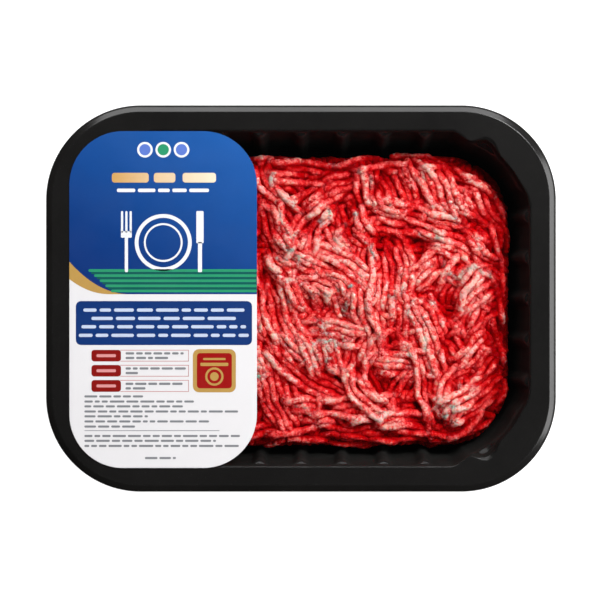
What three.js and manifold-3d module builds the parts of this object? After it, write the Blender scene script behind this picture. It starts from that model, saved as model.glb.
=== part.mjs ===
// Meat tray pack: a ribbed black plastic tray of minced beef, a clear lid film and a paper label on the film.
// Millimetres. X runs along the tray, Y across it and Z up from the surface that it stands on.
import * as THREE from 'three';
import { mergeVertices } from 'three/addons/utils/BufferGeometryUtils.js';
import Module from 'manifold-3d';

const wasm = await Module();
wasm.setup();

// Driving dimensions of the tray
const TRAY = { halfLength: 95, halfWidth: 72, cornerRadius: 35.3, height: 42, sheet: 0.9, draft: 7 };
const MOUTH = { halfLength: 85, halfWidth: 62.2, cornerRadius: 29.7, edgeRadius: 0.7 };
const LIP = { reach: 2.4, shoulder: 0.7, shoulderDrop: 0.8, roundDrop: 2.2, depth: 4.2 };
const FOOT = { rise: 3.5, inset: 2.8, ribShare: 0.6 };

// Upright ribs pressed into the walls, their rounded caps, and the crescent ledge pressed into each corner
const RIB = { pitch: 15.35, halfWidth: 3.2, reach: 2.2, fullness: 1.4 };
const RIB_CAP = { middle: 2.4, share: 0.66, end: 4.2 };
const RIB_PARTS = [-1, -0.5, 0, 0.5, 1];
const RIBS = { long: 7, short: 5 };
const LEDGE = { top: 6, bottom: 6.7, width: 2.4, from: 37, to: 77, blend: 6 };
const RIM_WAVES = [
  { at: 26, spread: 14, out: -0.6 },
  { at: 58, spread: 9, out: 1.2 },
  { at: 74, spread: 7, out: -1.9 },
];
const CORNER_STEPS = [11, 19, 27, 36, 43, 50, 58, 66, 74, 81];

// The lid film, sealed on the rim's flat band, and the label stuck on it
const FILM = { thickness: 0.2, inset: 2.7 };
const LABEL = { thickness: 0.15, halfLength: 34.85, halfWidth: 62.6, cornerRadius: 20, x: -51.25, y: -0.4 };
const PLATE_CORNER_STEPS = 7;

// The block of mince, widest at its waist, with an uneven crown, and the strands that lie on it
const MINCE = { halfLength: 78.3, halfWidth: 54.3, cornerRadius: 24, leastRadius: 6, y: -0.9, gap: 0.35 };
const SIDE = { waist: 18.5, shoulder: 15, tuck: 4, tuckPower: 1.5, heights: [8], stationGap: 32 };
const MINCE_CORNER_STEPS = [22.5, 45, 67.5];
const CROWN = { height: 27.3, insets: [1.2, 5, 13, 34], middleRise: 1.3, middleSpread: 1.4 };
const SWELL = { rise: 0.9, lengthX: 13, shiftX: 1.2, lengthY: 11, shiftY: -0.4 };
const ROLL = { rise: 0.6, lengthX: 23, lengthY: 17 };
const LOBES = [{ count: 7, shift: 0.6, out: 0.35 }, { count: 12, shift: 2.1, out: 0.3 }];
const STRAND = { radius: 1.55, sides: 5, stepTurn: 24, planSteps: 6, proud: 0.5, edgeInset: 1.2 };
const LAYING = { pitch: 4.4, spacing: 3.4, thinning: 1.5, slide: 3 };
const SIDE_STRANDS = { count: 20, length: 22, low: 9.5, high: 18, tilt: 14, sink: 0.7, uneven: 0.3 };
const SIDE_STRAND_PARTS = [-0.5, -0.25, 0, 0.25, 0.5];

// Rows of strands on top: the row's middle, its heading and turn in degrees, and how many lie side by side
const ROWS = [
  { at: [-9, -2], heading: -70, turn: -6, length: 31, strands: 4 },
  { at: [-2, 9], heading: -59, turn: -12, length: 22, strands: 4 },
  { at: [17, 9], heading: -35, turn: -45, length: 36, strands: 5 },
  { at: [16, -2], heading: -55, turn: -50, length: 23, strands: 4 },
  { at: [25, -6], heading: -78, turn: -10, length: 19, strands: 3 },
  { at: [34, 8], heading: -88, turn: 0, length: 19, strands: 6 },
  { at: [42, -9], heading: -83, turn: 0, length: 19, strands: 6 },
  { at: [52, -16], heading: -65, turn: -10, length: 23, strands: 5 },
  { at: [66, -4], heading: 50, turn: -10, length: 19, strands: 5 },
  { at: [66, -24], heading: 40, turn: 30, length: 16, strands: 5 },
  { at: [-9, -35], heading: -65, turn: 5, length: 26, strands: 5 },
  { at: [6, -29], heading: -33, turn: 35, length: 26, strands: 5 },
  { at: [15, -42], heading: 0, turn: 8, length: 28, strands: 3 },
  { at: [22, -49], heading: 2, turn: 0, length: 26, strands: 4 },
  { at: [48, -48], heading: 5, turn: 12, length: 24, strands: 4 },
  { at: [21, -31], heading: -75, turn: 130, length: 30, strands: 3 },
  { at: [37, -23], heading: -10, turn: -30, length: 15, strands: 4 },
  { at: [41, -31], heading: 60, turn: 10, length: 11, strands: 3 },
  { at: [49, -33], heading: -80, turn: 10, length: 21, strands: 4 },
  { at: [57, -37], heading: 60, turn: 0, length: 15, strands: 4 },
  { at: [65, -38], heading: 30, turn: 20, length: 15, strands: 4 },
  { at: [50, 48], heading: -20, turn: -40, length: 28, strands: 3 },
  { at: [39, 42], heading: -65, turn: 0, length: 14, strands: 6 },
  { at: [53, 40], heading: -65, turn: -20, length: 17, strands: 4 },
  { at: [68, 28], heading: -60, turn: -20, length: 21, strands: 5 },
  { at: [43, 29], heading: -15, turn: 0, length: 23, strands: 4 },
  { at: [56, 20], heading: -20, turn: 0, length: 15, strands: 3 },
  { at: [69, 13], heading: -40, turn: 0, length: 17, strands: 4 },
  { at: [17, 28], heading: -60, turn: 15, length: 14, strands: 6 },
  { at: [3, 27], heading: 65, turn: 0, length: 17, strands: 4 },
  { at: [-8, 41], heading: -60, turn: 60, length: 17, strands: 4 },
  { at: [-9, 27], heading: -65, turn: 0, length: 15, strands: 3 },
  { at: [8, 38], heading: 35, turn: -40, length: 17, strands: 4 },
  { at: [17, 46], heading: 5, turn: -60, length: 17, strands: 3 },
  { at: [25, 44], heading: -80, turn: 0, length: 15, strands: 3 },
  { at: [-4, 48], heading: -10, turn: 0, length: 15, strands: 3 },
  { at: [47, 11], heading: 40, turn: -30, length: 11, strands: 3 },
  { at: [59, 6], heading: 65, turn: 0, length: 13, strands: 4 },
  { at: [11, -13], heading: 0, turn: -10, length: 15, strands: 3 },
  { at: [8, -22], heading: -75, turn: 0, length: 11, strands: 5 },
];

// Rows under the label: a jittered grid, each heading turned on from its neighbour's
const COVERED = { fromX: -70, toX: -20, columns: 4, fromY: -44, toY: 44, rows: 6, jitter: 4 };
const COVERED_ROW = { length: 20, strands: 3, mostTurn: 30, headingByColumn: 37, headingByRow: 71 };
// Strands tried last, wherever the rows leave room
const FILLERS = { tries: 420, shortest: 9, longest: 18, mostTurn: 20 };
const SEED = 20417;

const HALF_TURN = 180;
const radians = (degrees) => (degrees * Math.PI) / HALF_TURN;
const smoothstep = (low, high, value) => THREE.MathUtils.smoothstep(value, low, high);

// Seeded random numbers from 0 to 1, the same on each run
function seededRandom(seed) {
  let state = seed;
  return () => {
    state = (state + 0x6d2b79f5) | 0;
    let mixed = Math.imul(state ^ (state >>> 15), 1 | state);
    mixed = (mixed + Math.imul(mixed ^ (mixed >>> 7), 61 | mixed)) ^ mixed;
    return ((mixed ^ (mixed >>> 14)) >>> 0) / 4294967296;
  };
}

// Skins a stack of rings with quads and shuts both ends with a fan round the ring's middle.
function loftGeometry(rings) {
  const count = rings[0].length;
  const positions = rings.flat().flatMap((point) => [point.x, point.y, point.z]);
  const indices = [];
  for (let level = 0; level + 1 < rings.length; level += 1) {
    for (let i = 0; i < count; i += 1) {
      const here = level * count + i;
      const next = level * count + ((i + 1) % count);
      indices.push(here, next, next + count, here, next + count, here + count);
    }
  }
  const shutEnd = (ring, start, facingUp) => {
    const middle = positions.length / 3;
    positions.push(0, 0, ring[0].z);
    for (let i = 0; i < count; i += 1) {
      const next = (i + 1) % count;
      indices.push(...(facingUp ? [middle, start + i, start + next] : [middle, start + next, start + i]));
    }
  };
  shutEnd(rings[0], 0, false);
  shutEnd(rings[rings.length - 1], (rings.length - 1) * count, true);
  const geometry = new THREE.BufferGeometry();
  geometry.setAttribute('position', new THREE.Float32BufferAttribute(positions, 3));
  geometry.setIndex(indices);
  return geometry;
}

// The four straight sides of the mouth. A corner's angle is 0 at the short side and 90 at the long side.
const SIDES = [
  { facing: 0, straight: MOUTH.halfWidth - MOUTH.cornerRadius, ribs: RIBS.short, nextCornerRises: true },
  { facing: 90, straight: MOUTH.halfLength - MOUTH.cornerRadius, ribs: RIBS.long, nextCornerRises: false },
  { facing: 180, straight: MOUTH.halfWidth - MOUTH.cornerRadius, ribs: RIBS.short, nextCornerRises: true },
  { facing: 270, straight: MOUTH.halfLength - MOUTH.cornerRadius, ribs: RIBS.long, nextCornerRises: false },
];

// A rib's section: its height, from 0 to 1, at a share of its half width from its middle
const ribHeight = (share) => (1 - share ** 2) ** RIB.fullness;

function sideStations(side) {
  const stations = [];
  const reach = (side.ribs - 1) / 2;
  for (let rib = -reach; rib <= reach; rib += 1) {
    for (const part of RIB_PARTS) {
      const along = rib * RIB.pitch + part * RIB.halfWidth;
      const past = Math.max(Math.abs(along) - side.straight, 0);
      const turn = (past / MOUTH.cornerRadius) * (HALF_TURN / Math.PI) * Math.sign(along);
      const fraction = THREE.MathUtils.clamp(along / side.straight, -1, 1);
      const corner = side.nextCornerRises ? Math.abs(turn) : 90 - Math.abs(turn);
      stations.push({ facing: side.facing, turn, fraction, rib: ribHeight(part), corner });
    }
  }
  return stations;
}

function cornerStations(side) {
  const steps = side.nextCornerRises ? CORNER_STEPS : CORNER_STEPS.map((step) => 90 - step).reverse();
  return steps.map((turn) => ({
    facing: side.facing,
    turn,
    fraction: 1,
    rib: 0,
    corner: side.nextCornerRises ? turn : 90 - turn,
  }));
}

const TRAY_STATIONS = SIDES.flatMap((side) => [...sideStations(side), ...cornerStations(side)]);

// The point of a station on a rounded rectangle, moved out along its normal.
function outlinePoint(station, halfLength, halfWidth, radius, out, z) {
  const facing = radians(station.facing);
  const normal = radians(station.facing + station.turn);
  const isShortSide = station.facing % HALF_TURN === 0;
  const reach = (isShortSide ? halfLength : halfWidth) - radius;
  const across = ((isShortSide ? halfWidth : halfLength) - radius) * station.fraction;
  return new THREE.Vector3(
    Math.cos(facing) * reach - Math.sin(facing) * across + Math.cos(normal) * (radius + out),
    Math.sin(facing) * reach + Math.cos(facing) * across + Math.sin(normal) * (radius + out),
    z,
  );
}

// The rim's inner edge weaves in and out at each corner.
function rimWave(corner) {
  return RIM_WAVES.reduce((sum, wave) => {
    const away = (corner - wave.at) / wave.spread;
    return sum + (Math.abs(away) < 1 ? wave.out * (1 - away ** 2) ** 2 : 0);
  }, 0);
}

// The share of a corner's wall that the ledge pushes in, blended out at both ends
function ledgeCover(corner) {
  const begun = smoothstep(LEDGE.from - LEDGE.blend, LEDGE.from, corner);
  const ended = smoothstep(LEDGE.to, LEDGE.to + LEDGE.blend, corner);
  return begun * (1 - ended);
}

// A ring of the wall, at a depth under the rim, with the share of the ribs and ledges that shows there
function wallRing(depth, ribShare, ledgeShare, skin = 0, z = TRAY.height - depth) {
  const inset = depth * Math.tan(radians(TRAY.draft));
  return TRAY_STATIONS.map((station) => {
    const cover = ledgeCover(station.corner) * ledgeShare;
    const ledge = cover * LEDGE.width + (1 - cover) * -rimWave(station.corner);
    const out = skin - ledge - station.rib * RIB.reach * ribShare;
    const { halfLength, halfWidth, cornerRadius } = MOUTH;
    return outlinePoint(station, halfLength - inset, halfWidth - inset, cornerRadius - inset, out, z);
  });
}

// A ring of the rim outside the mouth, inset from the tray's outline.
function rimRing(inset, z) {
  const { halfLength, halfWidth, cornerRadius } = TRAY;
  return TRAY_STATIONS.map((station) =>
    outlinePoint(station, halfLength - inset, halfWidth - inset, cornerRadius - inset, 0, z));
}

// From the underside up the outer wall, round the rim and down the inner wall to the floor
function trayGeometry() {
  const { height, sheet } = TRAY;
  const floorDepth = height - sheet;
  const wallFoot = floorDepth - FOOT.rise;
  return loftGeometry([
    wallRing(height, FOOT.ribShare, 1, sheet - FOOT.inset),
    wallRing(wallFoot, 1, 1, sheet),
    wallRing(LEDGE.bottom + sheet, 1, 1, sheet),
    wallRing(LEDGE.top + sheet, 1, 0, sheet),
    wallRing(sheet, 0, 0, sheet),
    rimRing(LIP.reach + sheet / 2, height - sheet),
    rimRing(sheet, height - LIP.depth),
    rimRing(0, height - LIP.depth),
    rimRing(0, height - LIP.roundDrop),
    rimRing(LIP.shoulder, height - LIP.shoulderDrop),
    rimRing(LIP.reach, height),
    wallRing(0, 0, 0, MOUTH.edgeRadius, height),
    wallRing(MOUTH.edgeRadius, 0, 0),
    wallRing(RIB_CAP.middle, RIB_CAP.share, 0),
    wallRing(RIB_CAP.end, 1, 0),
    wallRing(LEDGE.top, 1, 0),
    wallRing(LEDGE.bottom, 1, 1),
    wallRing(wallFoot, 1, 1),
    wallRing(floorDepth, FOOT.ribShare, 1, -FOOT.inset),
  ]);
}

// A flat plate with rounded corners, as the lid film and the label are
function roundedPlate(halfLength, halfWidth, radius, thickness) {
  const shape = new THREE.Shape();
  const straightX = halfLength - radius;
  const straightY = halfWidth - radius;
  shape.absarc(straightX, straightY, radius, 0, Math.PI / 2);
  shape.absarc(-straightX, straightY, radius, Math.PI / 2, Math.PI);
  shape.absarc(-straightX, -straightY, radius, Math.PI, 1.5 * Math.PI);
  shape.absarc(straightX, -straightY, radius, 1.5 * Math.PI, 2 * Math.PI);
  const settings = { depth: thickness, bevelEnabled: false, curveSegments: PLATE_CORNER_STEPS };
  return new THREE.ExtrudeGeometry(shape, settings);
}

const MINCE_FOOT = TRAY.sheet + MINCE.gap;

// How far a point lies inside the block's outline, which is a rounded rectangle
function mincePlanInset(x, y) {
  const overX = Math.abs(x) - (MINCE.halfLength - MINCE.cornerRadius);
  const overY = Math.abs(y - MINCE.y) - (MINCE.halfWidth - MINCE.cornerRadius);
  const outside = Math.hypot(Math.max(overX, 0), Math.max(overY, 0));
  return MINCE.cornerRadius - outside - Math.min(Math.max(overX, overY), 0);
}

// The top is a low uneven crown that rounds down to the waist at the outline.
function minceHeight(x, y) {
  const inset = THREE.MathUtils.clamp(mincePlanInset(x, y) / SIDE.shoulder, 0, 1);
  const round = Math.sqrt(1 - (1 - inset) ** 2);
  const swellX = Math.sin(x / SWELL.lengthX + SWELL.shiftX);
  const swellY = Math.cos(y / SWELL.lengthY + SWELL.shiftY);
  const roll = Math.sin(x / ROLL.lengthX - y / ROLL.lengthY);
  const middleX = Math.cos((x / MINCE.halfLength) * CROWN.middleSpread);
  const middleY = Math.cos((y / MINCE.halfWidth) * CROWN.middleSpread);
  const uneven = CROWN.middleRise * middleX * middleY + SWELL.rise * swellX * swellY + ROLL.rise * roll;
  return SIDE.waist + (CROWN.height - SIDE.waist + uneven) * round;
}

function minceNormal(x, y) {
  const step = 0.5;
  const slopeX = (minceHeight(x + step, y) - minceHeight(x - step, y)) / (2 * step);
  const slopeY = (minceHeight(x, y + step) - minceHeight(x, y - step)) / (2 * step);
  return new THREE.Vector3(-slopeX, -slopeY, 1).normalize();
}

// How far the side draws in towards the foot
function minceTuck(z) {
  return SIDE.tuck * (1 - Math.min(z / SIDE.waist, 1)) ** SIDE.tuckPower;
}

const MINCE_SIDES = [0, 90, 180, 270].map((facing) => {
  const half = facing % HALF_TURN === 0 ? MINCE.halfWidth : MINCE.halfLength;
  return { facing, straight: half - MINCE.cornerRadius };
});

// Stations round the block: the straight stretches in even steps, then the corners
const MINCE_STATIONS = MINCE_SIDES.flatMap(({ facing, straight }) => {
  const steps = Math.round((2 * straight) / SIDE.stationGap);
  const fractions = Array.from({ length: steps + 1 }, (_, i) => -1 + (2 * i) / steps);
  const along = fractions.map((fraction) => ({ facing, turn: 0, fraction }));
  const round = MINCE_CORNER_STEPS.map((turn) => ({ facing, turn, fraction: 1 }));
  return [...along, ...round];
});

// The uneven outline: shallow lobes round the block
function minceLobe(index) {
  const way = (index / MINCE_STATIONS.length) * 2 * Math.PI;
  return LOBES.reduce((sum, { count, shift, out }) => sum + out * Math.sin(count * way + shift), 0);
}

// A ring of the block at a height, or on the crown where none is given
function minceRing(inset, z) {
  const { halfLength, halfWidth, cornerRadius } = MINCE;
  const radius = Math.max(cornerRadius - inset, MINCE.leastRadius);
  return MINCE_STATIONS.map((station, index) => {
    const lobe = minceLobe(index);
    const point = outlinePoint(station, halfLength - inset, halfWidth - inset, radius, lobe, z ?? 0);
    point.y += MINCE.y;
    if (z === undefined) point.z = minceHeight(point.x, point.y);
    return point;
  });
}

function minceBlock() {
  const side = [MINCE_FOOT, ...SIDE.heights].map((z) => minceRing(minceTuck(z), z));
  const top = CROWN.insets.map((inset) => minceRing(inset));
  const last = top[top.length - 1];
  const level = last.reduce((sum, point) => sum + point.z, 0) / last.length;
  last.forEach((point) => { point.z = level; });
  return loftGeometry([...side, minceRing(0, SIDE.waist - 1), ...top]);
}

// How far a curve's direction turns in all, by a few even samples
function totalTurn(curve) {
  const samples = 8;
  const tangents = Array.from({ length: samples + 1 }, (_, i) => curve.getTangentAt(i / samples));
  return tangents.slice(1).reduce((sum, tangent, i) => sum + tangent.angleTo(tangents[i]), 0);
}

// One strand: a round worm of few sides along a smooth curve
function strandGeometry(points) {
  const curve = new THREE.CatmullRomCurve3(points);
  const section = new THREE.Shape();
  for (let side = 0; side < STRAND.sides; side += 1) {
    const angle = (side / STRAND.sides) * 2 * Math.PI;
    const corner = [Math.cos(angle) * STRAND.radius, Math.sin(angle) * STRAND.radius];
    if (side === 0) section.moveTo(...corner);
    else section.lineTo(...corner);
  }
  section.closePath();
  const steps = Math.max(Math.ceil(totalTurn(curve) / radians(STRAND.stepTurn)), 2);
  return new THREE.ExtrudeGeometry(section, { steps, bevelEnabled: false, extrudePath: curve });
}

// The plan points of one strand in a row: an arc that turns evenly, shifted sideways to its place
function rowPlan({ at, heading, turn, length }, sideways) {
  const middle = radians(heading);
  const plan = [];
  for (let i = 0; i <= STRAND.planSteps; i += 1) {
    const share = i / STRAND.planSteps - 0.5;
    const bend = radians(turn) * share;
    const chord = Math.abs(turn) < 1 ? share : Math.sin(bend / 2) / (radians(turn) / 2);
    const direction = middle + bend / 2;
    const across = middle + bend + Math.PI / 2;
    plan.push([
      at[0] + Math.cos(direction) * chord * length + Math.cos(across) * sideways,
      at[1] + Math.sin(direction) * chord * length + Math.sin(across) * sideways,
    ]);
  }
  return plan;
}

// A point on the crown, as high over it as a strand's middle lies
function strandPoint(x, y) {
  const onCrown = new THREE.Vector3(x, y, minceHeight(x, y));
  return onCrown.addScaledVector(minceNormal(x, y), STRAND.proud);
}

// A strand on the crown, slid along by some millimetres. Its stretch past the outline is left off.
function topStrandPoints(row, sideways, slide) {
  const heading = radians(row.heading);
  const at = [row.at[0] + Math.cos(heading) * slide, row.at[1] + Math.sin(heading) * slide];
  return rowPlan({ ...row, at }, sideways)
    .filter(([x, y]) => mincePlanInset(x, y) > STRAND.edgeInset)
    .map(([x, y]) => strandPoint(x, y));
}

// Strands that would cross one laid before are skipped, so that they spread evenly and stay distinct.
function layRows(rows, random) {
  const laid = [];
  const isClear = (point) => laid.every((other) => point.distanceTo(other) > LAYING.spacing);
  return rows.flatMap((row) => {
    const count = Math.ceil(row.strands / LAYING.thinning);
    const strands = [];
    for (let i = 0; i < count; i += 1) {
      const sideways = (i - (count - 1) / 2) * LAYING.pitch;
      const points = topStrandPoints(row, sideways, (random() - 0.5) * LAYING.slide);
      if (points.length > 2 && points.every(isClear)) {
        laid.push(...points);
        strands.push(strandGeometry(points));
      }
    }
    return strands;
  });
}

function coveredRows(random) {
  const { fromX, toX, columns, fromY, toY, rows, jitter } = COVERED;
  const { length, strands, mostTurn, headingByColumn, headingByRow } = COVERED_ROW;
  const stray = () => (2 * random() - 1) * jitter;
  const found = [];
  for (let column = 0; column < columns; column += 1) {
    for (let line = 0; line < rows; line += 1) {
      const x = THREE.MathUtils.lerp(fromX, toX, column / (columns - 1)) + stray();
      const y = THREE.MathUtils.lerp(fromY, toY, line / (rows - 1)) + stray();
      const heading = headingByColumn * column + headingByRow * line;
      found.push({ at: [x, y], heading, turn: mostTurn * (2 * random() - 1), length, strands });
    }
  }
  return found;
}

function fillerRows(random) {
  return Array.from({ length: FILLERS.tries }, () => ({
    at: [(2 * random() - 1) * MINCE.halfLength, (2 * random() - 1) * MINCE.halfWidth],
    heading: random() * HALF_TURN,
    turn: FILLERS.mostTurn * (2 * random() - 1),
    length: THREE.MathUtils.lerp(FILLERS.shortest, FILLERS.longest, random()),
    strands: 1,
  }));
}

// Strands that lie along the block's side, in turn low and high
function sideStrand(index, random) {
  const share = (index + random() * SIDE_STRANDS.uneven) / SIDE_STRANDS.count;
  const level = index % 2 === 0 ? SIDE_STRANDS.low : SIDE_STRANDS.high;
  const tilt = radians(SIDE_STRANDS.tilt * (2 * random() - 1));
  const outline = new THREE.CatmullRomCurve3(minceRing(0, 0), true);
  const perimeter = outline.getLength();
  const points = SIDE_STRAND_PARTS.map((part) => {
    const way = (share + (part * SIDE_STRANDS.length) / perimeter + 1) % 1;
    const z = level + Math.sin(tilt) * part * SIDE_STRANDS.length;
    const tangent = outline.getTangentAt(way);
    const outward = new THREE.Vector3(tangent.y, -tangent.x, 0);
    return outline.getPointAt(way).addScaledVector(outward, -SIDE_STRANDS.sink - minceTuck(z)).setZ(z);
  });
  return strandGeometry(points);
}

function toManifold(geometry) {
  const bare = geometry.clone();
  bare.deleteAttribute('normal');
  bare.deleteAttribute('uv');
  const merged = mergeVertices(bare, 1e-4);
  const mesh = new wasm.Mesh({
    numProp: 3,
    vertProperties: new Float32Array(merged.attributes.position.array),
    triVerts: new Uint32Array(merged.index.array),
  });
  return new wasm.Manifold(mesh);
}

// The outer shell alone: the hollows that crossing strands seal are filled, and loose scraps are dropped.
function outerShell({ vertProperties, triVerts }) {
  const leader = Array.from({ length: vertProperties.length / 3 }, (_, i) => i);
  const leaderOf = (vertex) => {
    let found = vertex;
    while (leader[found] !== found) found = leader[found];
    leader[vertex] = found;
    return found;
  };
  const corner = (vertex) => new THREE.Vector3().fromArray(vertProperties, 3 * vertex);
  for (let i = 0; i < triVerts.length; i += 3) {
    leader[leaderOf(triVerts[i + 1])] = leaderOf(triVerts[i]);
    leader[leaderOf(triVerts[i + 2])] = leaderOf(triVerts[i]);
  }
  const volumes = new Map();
  for (let i = 0; i < triVerts.length; i += 3) {
    const [a, b, c] = [triVerts[i], triVerts[i + 1], triVerts[i + 2]];
    const shell = leaderOf(a);
    volumes.set(shell, (volumes.get(shell) ?? 0) + corner(a).dot(corner(b).cross(corner(c))) / 6);
  }
  const [largest] = [...volumes].reduce((best, entry) => (entry[1] > best[1] ? entry : best));
  const kept = [];
  for (let i = 0; i < triVerts.length; i += 3) {
    if (leaderOf(triVerts[i]) === largest) kept.push(triVerts[i], triVerts[i + 1], triVerts[i + 2]);
  }
  return kept;
}

function fromManifold(solid) {
  const mesh = solid.getMesh();
  const geometry = new THREE.BufferGeometry();
  geometry.setAttribute('position', new THREE.BufferAttribute(new Float32Array(mesh.vertProperties), 3));
  geometry.setIndex(outerShell(mesh));
  return geometry;
}

function minceGeometry() {
  const random = seededRandom(SEED);
  const onTop = layRows([...ROWS, ...coveredRows(random), ...fillerRows(random)], random);
  const roundSide = Array.from({ length: SIDE_STRANDS.count }, (_, i) => sideStrand(i, random));
  const strands = [...onTop, ...roundSide];
  const fused = strands.reduce((solid, strand) => solid.add(toManifold(strand)), toManifold(minceBlock()));
  return fromManifold(fused);
}

// The finishes and the finished pack
const PLASTIC = new THREE.MeshStandardMaterial({ color: 0x151414, roughness: 0.42, metalness: 0 });
const MEAT = new THREE.MeshStandardMaterial({ color: 0xc24746, roughness: 0.45, metalness: 0 });
const PAPER = new THREE.MeshStandardMaterial({ color: 0xe9ebee, roughness: 0.5, metalness: 0 });
const CLEAR = new THREE.MeshStandardMaterial({
  color: 0xffffff, roughness: 0.08, metalness: 0, transparent: true, opacity: 0.12,
});

function piece(name, geometry, material, x = 0, y = 0, z = 0) {
  const mesh = new THREE.Mesh(geometry, material);
  mesh.name = name;
  mesh.position.set(x, y, z);
  return mesh;
}

const filmHalfLength = TRAY.halfLength - FILM.inset;
const filmHalfWidth = TRAY.halfWidth - FILM.inset;
const filmRadius = TRAY.cornerRadius - FILM.inset;
const filmGeometry = roundedPlate(filmHalfLength, filmHalfWidth, filmRadius, FILM.thickness);
const labelGeometry = roundedPlate(LABEL.halfLength, LABEL.halfWidth, LABEL.cornerRadius, LABEL.thickness);

const pack = new THREE.Group();
pack.add(
  piece('tray', trayGeometry(), PLASTIC),
  piece('mince', minceGeometry(), MEAT),
  piece('lid_film', filmGeometry, CLEAR, 0, 0, TRAY.height),
  piece('label', labelGeometry, PAPER, LABEL.x, LABEL.y, TRAY.height + FILM.thickness),
);

export default pack;
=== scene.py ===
import math

import bmesh
import bpy
import numpy as np
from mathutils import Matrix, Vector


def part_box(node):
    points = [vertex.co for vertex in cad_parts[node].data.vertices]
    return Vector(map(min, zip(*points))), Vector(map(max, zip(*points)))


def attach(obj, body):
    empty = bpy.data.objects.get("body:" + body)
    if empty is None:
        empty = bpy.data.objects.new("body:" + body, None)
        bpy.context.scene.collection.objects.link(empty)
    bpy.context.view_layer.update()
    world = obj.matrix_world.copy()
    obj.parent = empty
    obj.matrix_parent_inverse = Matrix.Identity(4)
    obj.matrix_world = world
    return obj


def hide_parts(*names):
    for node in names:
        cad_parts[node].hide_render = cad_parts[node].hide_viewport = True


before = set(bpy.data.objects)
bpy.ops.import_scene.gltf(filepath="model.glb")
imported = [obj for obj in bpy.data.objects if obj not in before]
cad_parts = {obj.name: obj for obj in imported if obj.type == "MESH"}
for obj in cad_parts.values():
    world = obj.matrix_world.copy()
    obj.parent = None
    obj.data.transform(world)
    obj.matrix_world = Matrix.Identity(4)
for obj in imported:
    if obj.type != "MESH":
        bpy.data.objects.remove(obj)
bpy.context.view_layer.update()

# Meat tray pack: looks for the ribbed black tray, the minced beef in it, the clear lid film and the label.
# Sizes are millimetres here and become metres where a mesh is made.
MM = 0.001
TURN = 2 * math.pi


def box_mm(node):
    """A CAD node's lowest and highest corners in millimetres."""
    return [np.array(corner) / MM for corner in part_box(node)]


TRAY_LOW, TRAY_HIGH = box_mm("tray")
MINCE_LOW, MINCE_HIGH = box_mm("mince")
FILM_LOW, FILM_HIGH = box_mm("lid_film")
LABEL_LOW, LABEL_HIGH = box_mm("label")

# Tray
TRAY = {"half_length": TRAY_HIGH[0], "half_width": TRAY_HIGH[1], "radius": 35.3, "sheet": 0.9}
RIM_TOP = TRAY_HIGH[2]
MOUTH = {"half_length": 85.0, "half_width": 62.2, "radius": 29.7}
WALL_SLOPE = math.tan(math.radians(7))
LIP_DEPTH = 4.2
# The lip from its side up to the flat band: how far inside the rim's outline, and how far below the band
LIP_PROFILE = (
    (0.0, 2.2), (0.05, 1.75), (0.16, 1.4), (0.34, 1.13), (0.6, 0.93),
    (1.1, 0.69), (1.9, 0.31), (2.35, 0.09), (2.5, 0.03), (2.62, 0.0), (2.8, 0.0),
)
FOOT = {"rise": 3.5, "inset": 2.8, "rib_share": 0.6, "steps": 6}
RIB = {"pitch": 15.35, "half_width": 3.2, "reach": 2.2, "cap_start": 1.6, "cap_end": 4.4}
RIBS_LONG, RIBS_SHORT = 7, 5
# The pocket in each corner: how far in its foot reaches, and where it lies in degrees of the corner
POCKET = {"width": 2.4, "from": 24.0, "rise": 14.0, "to": 74.0, "fall": 5.0}
# The mouth from the band down to the wall. On plain stretches: out from the wall, and depth.
# In a pocket: share of the way in to its foot, and depth below its bevelled edge.
POCKET_EDGE = {"share": 0.3, "slope": math.tan(math.radians(26))}
MOUTH_PROFILE = (
    (0.85, 0.00, 0.00, 0.00), (0.63, 0.03, 0.03, 0.00), (0.42, 0.11, 0.29, 0.00), (0.25, 0.25, 0.32, 0.05),
    (0.11, 0.42, 0.335, 0.30), (0.03, 0.63, 0.34, 0.80), (0.00, 0.85, 0.345, 1.40), (0.00, 1.65, 0.35, 2.10),
    (0.00, 1.75, 0.36, 3.00), (0.00, 1.90, 0.365, 3.80), (0.00, 2.20, 0.37, 4.40), (0.00, 2.60, 0.42, 4.75),
    (0.00, 3.20, 0.55, 5.05), (0.00, 4.20, 0.78, 5.50), (0.00, 5.50, 0.95, 6.00), (0.00, 6.80, 0.985, 6.30),
    (0.00, 7.60, 1.00, 7.60),
)
# Where the mouth's edge swings in and out at a corner: degrees of the corner, spread in degrees, and how far
RIM_WAVES = ((42, 42, -1.7), (60, 14, 2.5), (75.5, 13, -2.2))
# The band's inner edge: how far out from the wall it lies, and how much of that a pocket takes away
MOUTH_EDGE = {"out": 1.05, "less_in_pocket": 0.9}
# Depths of the rings up the outer wall and down the inner one
OUTER_DEPTHS = (30, 22, 14, 9.5, 8.5, 7.9, 7.6, 7.2, 6.2, 5.2, 4.2, 3.4, 2.8, 2.3, 2.0, 1.8)
INNER_DEPTHS = (9, 15, 24)
FLANGE_ROUND = 0.3
FLANGE_INSET = 0.2
STATION_GAP = 0.55
# How far from a side a station on the next one counts as lying
FAR_AWAY = -1e3

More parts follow.
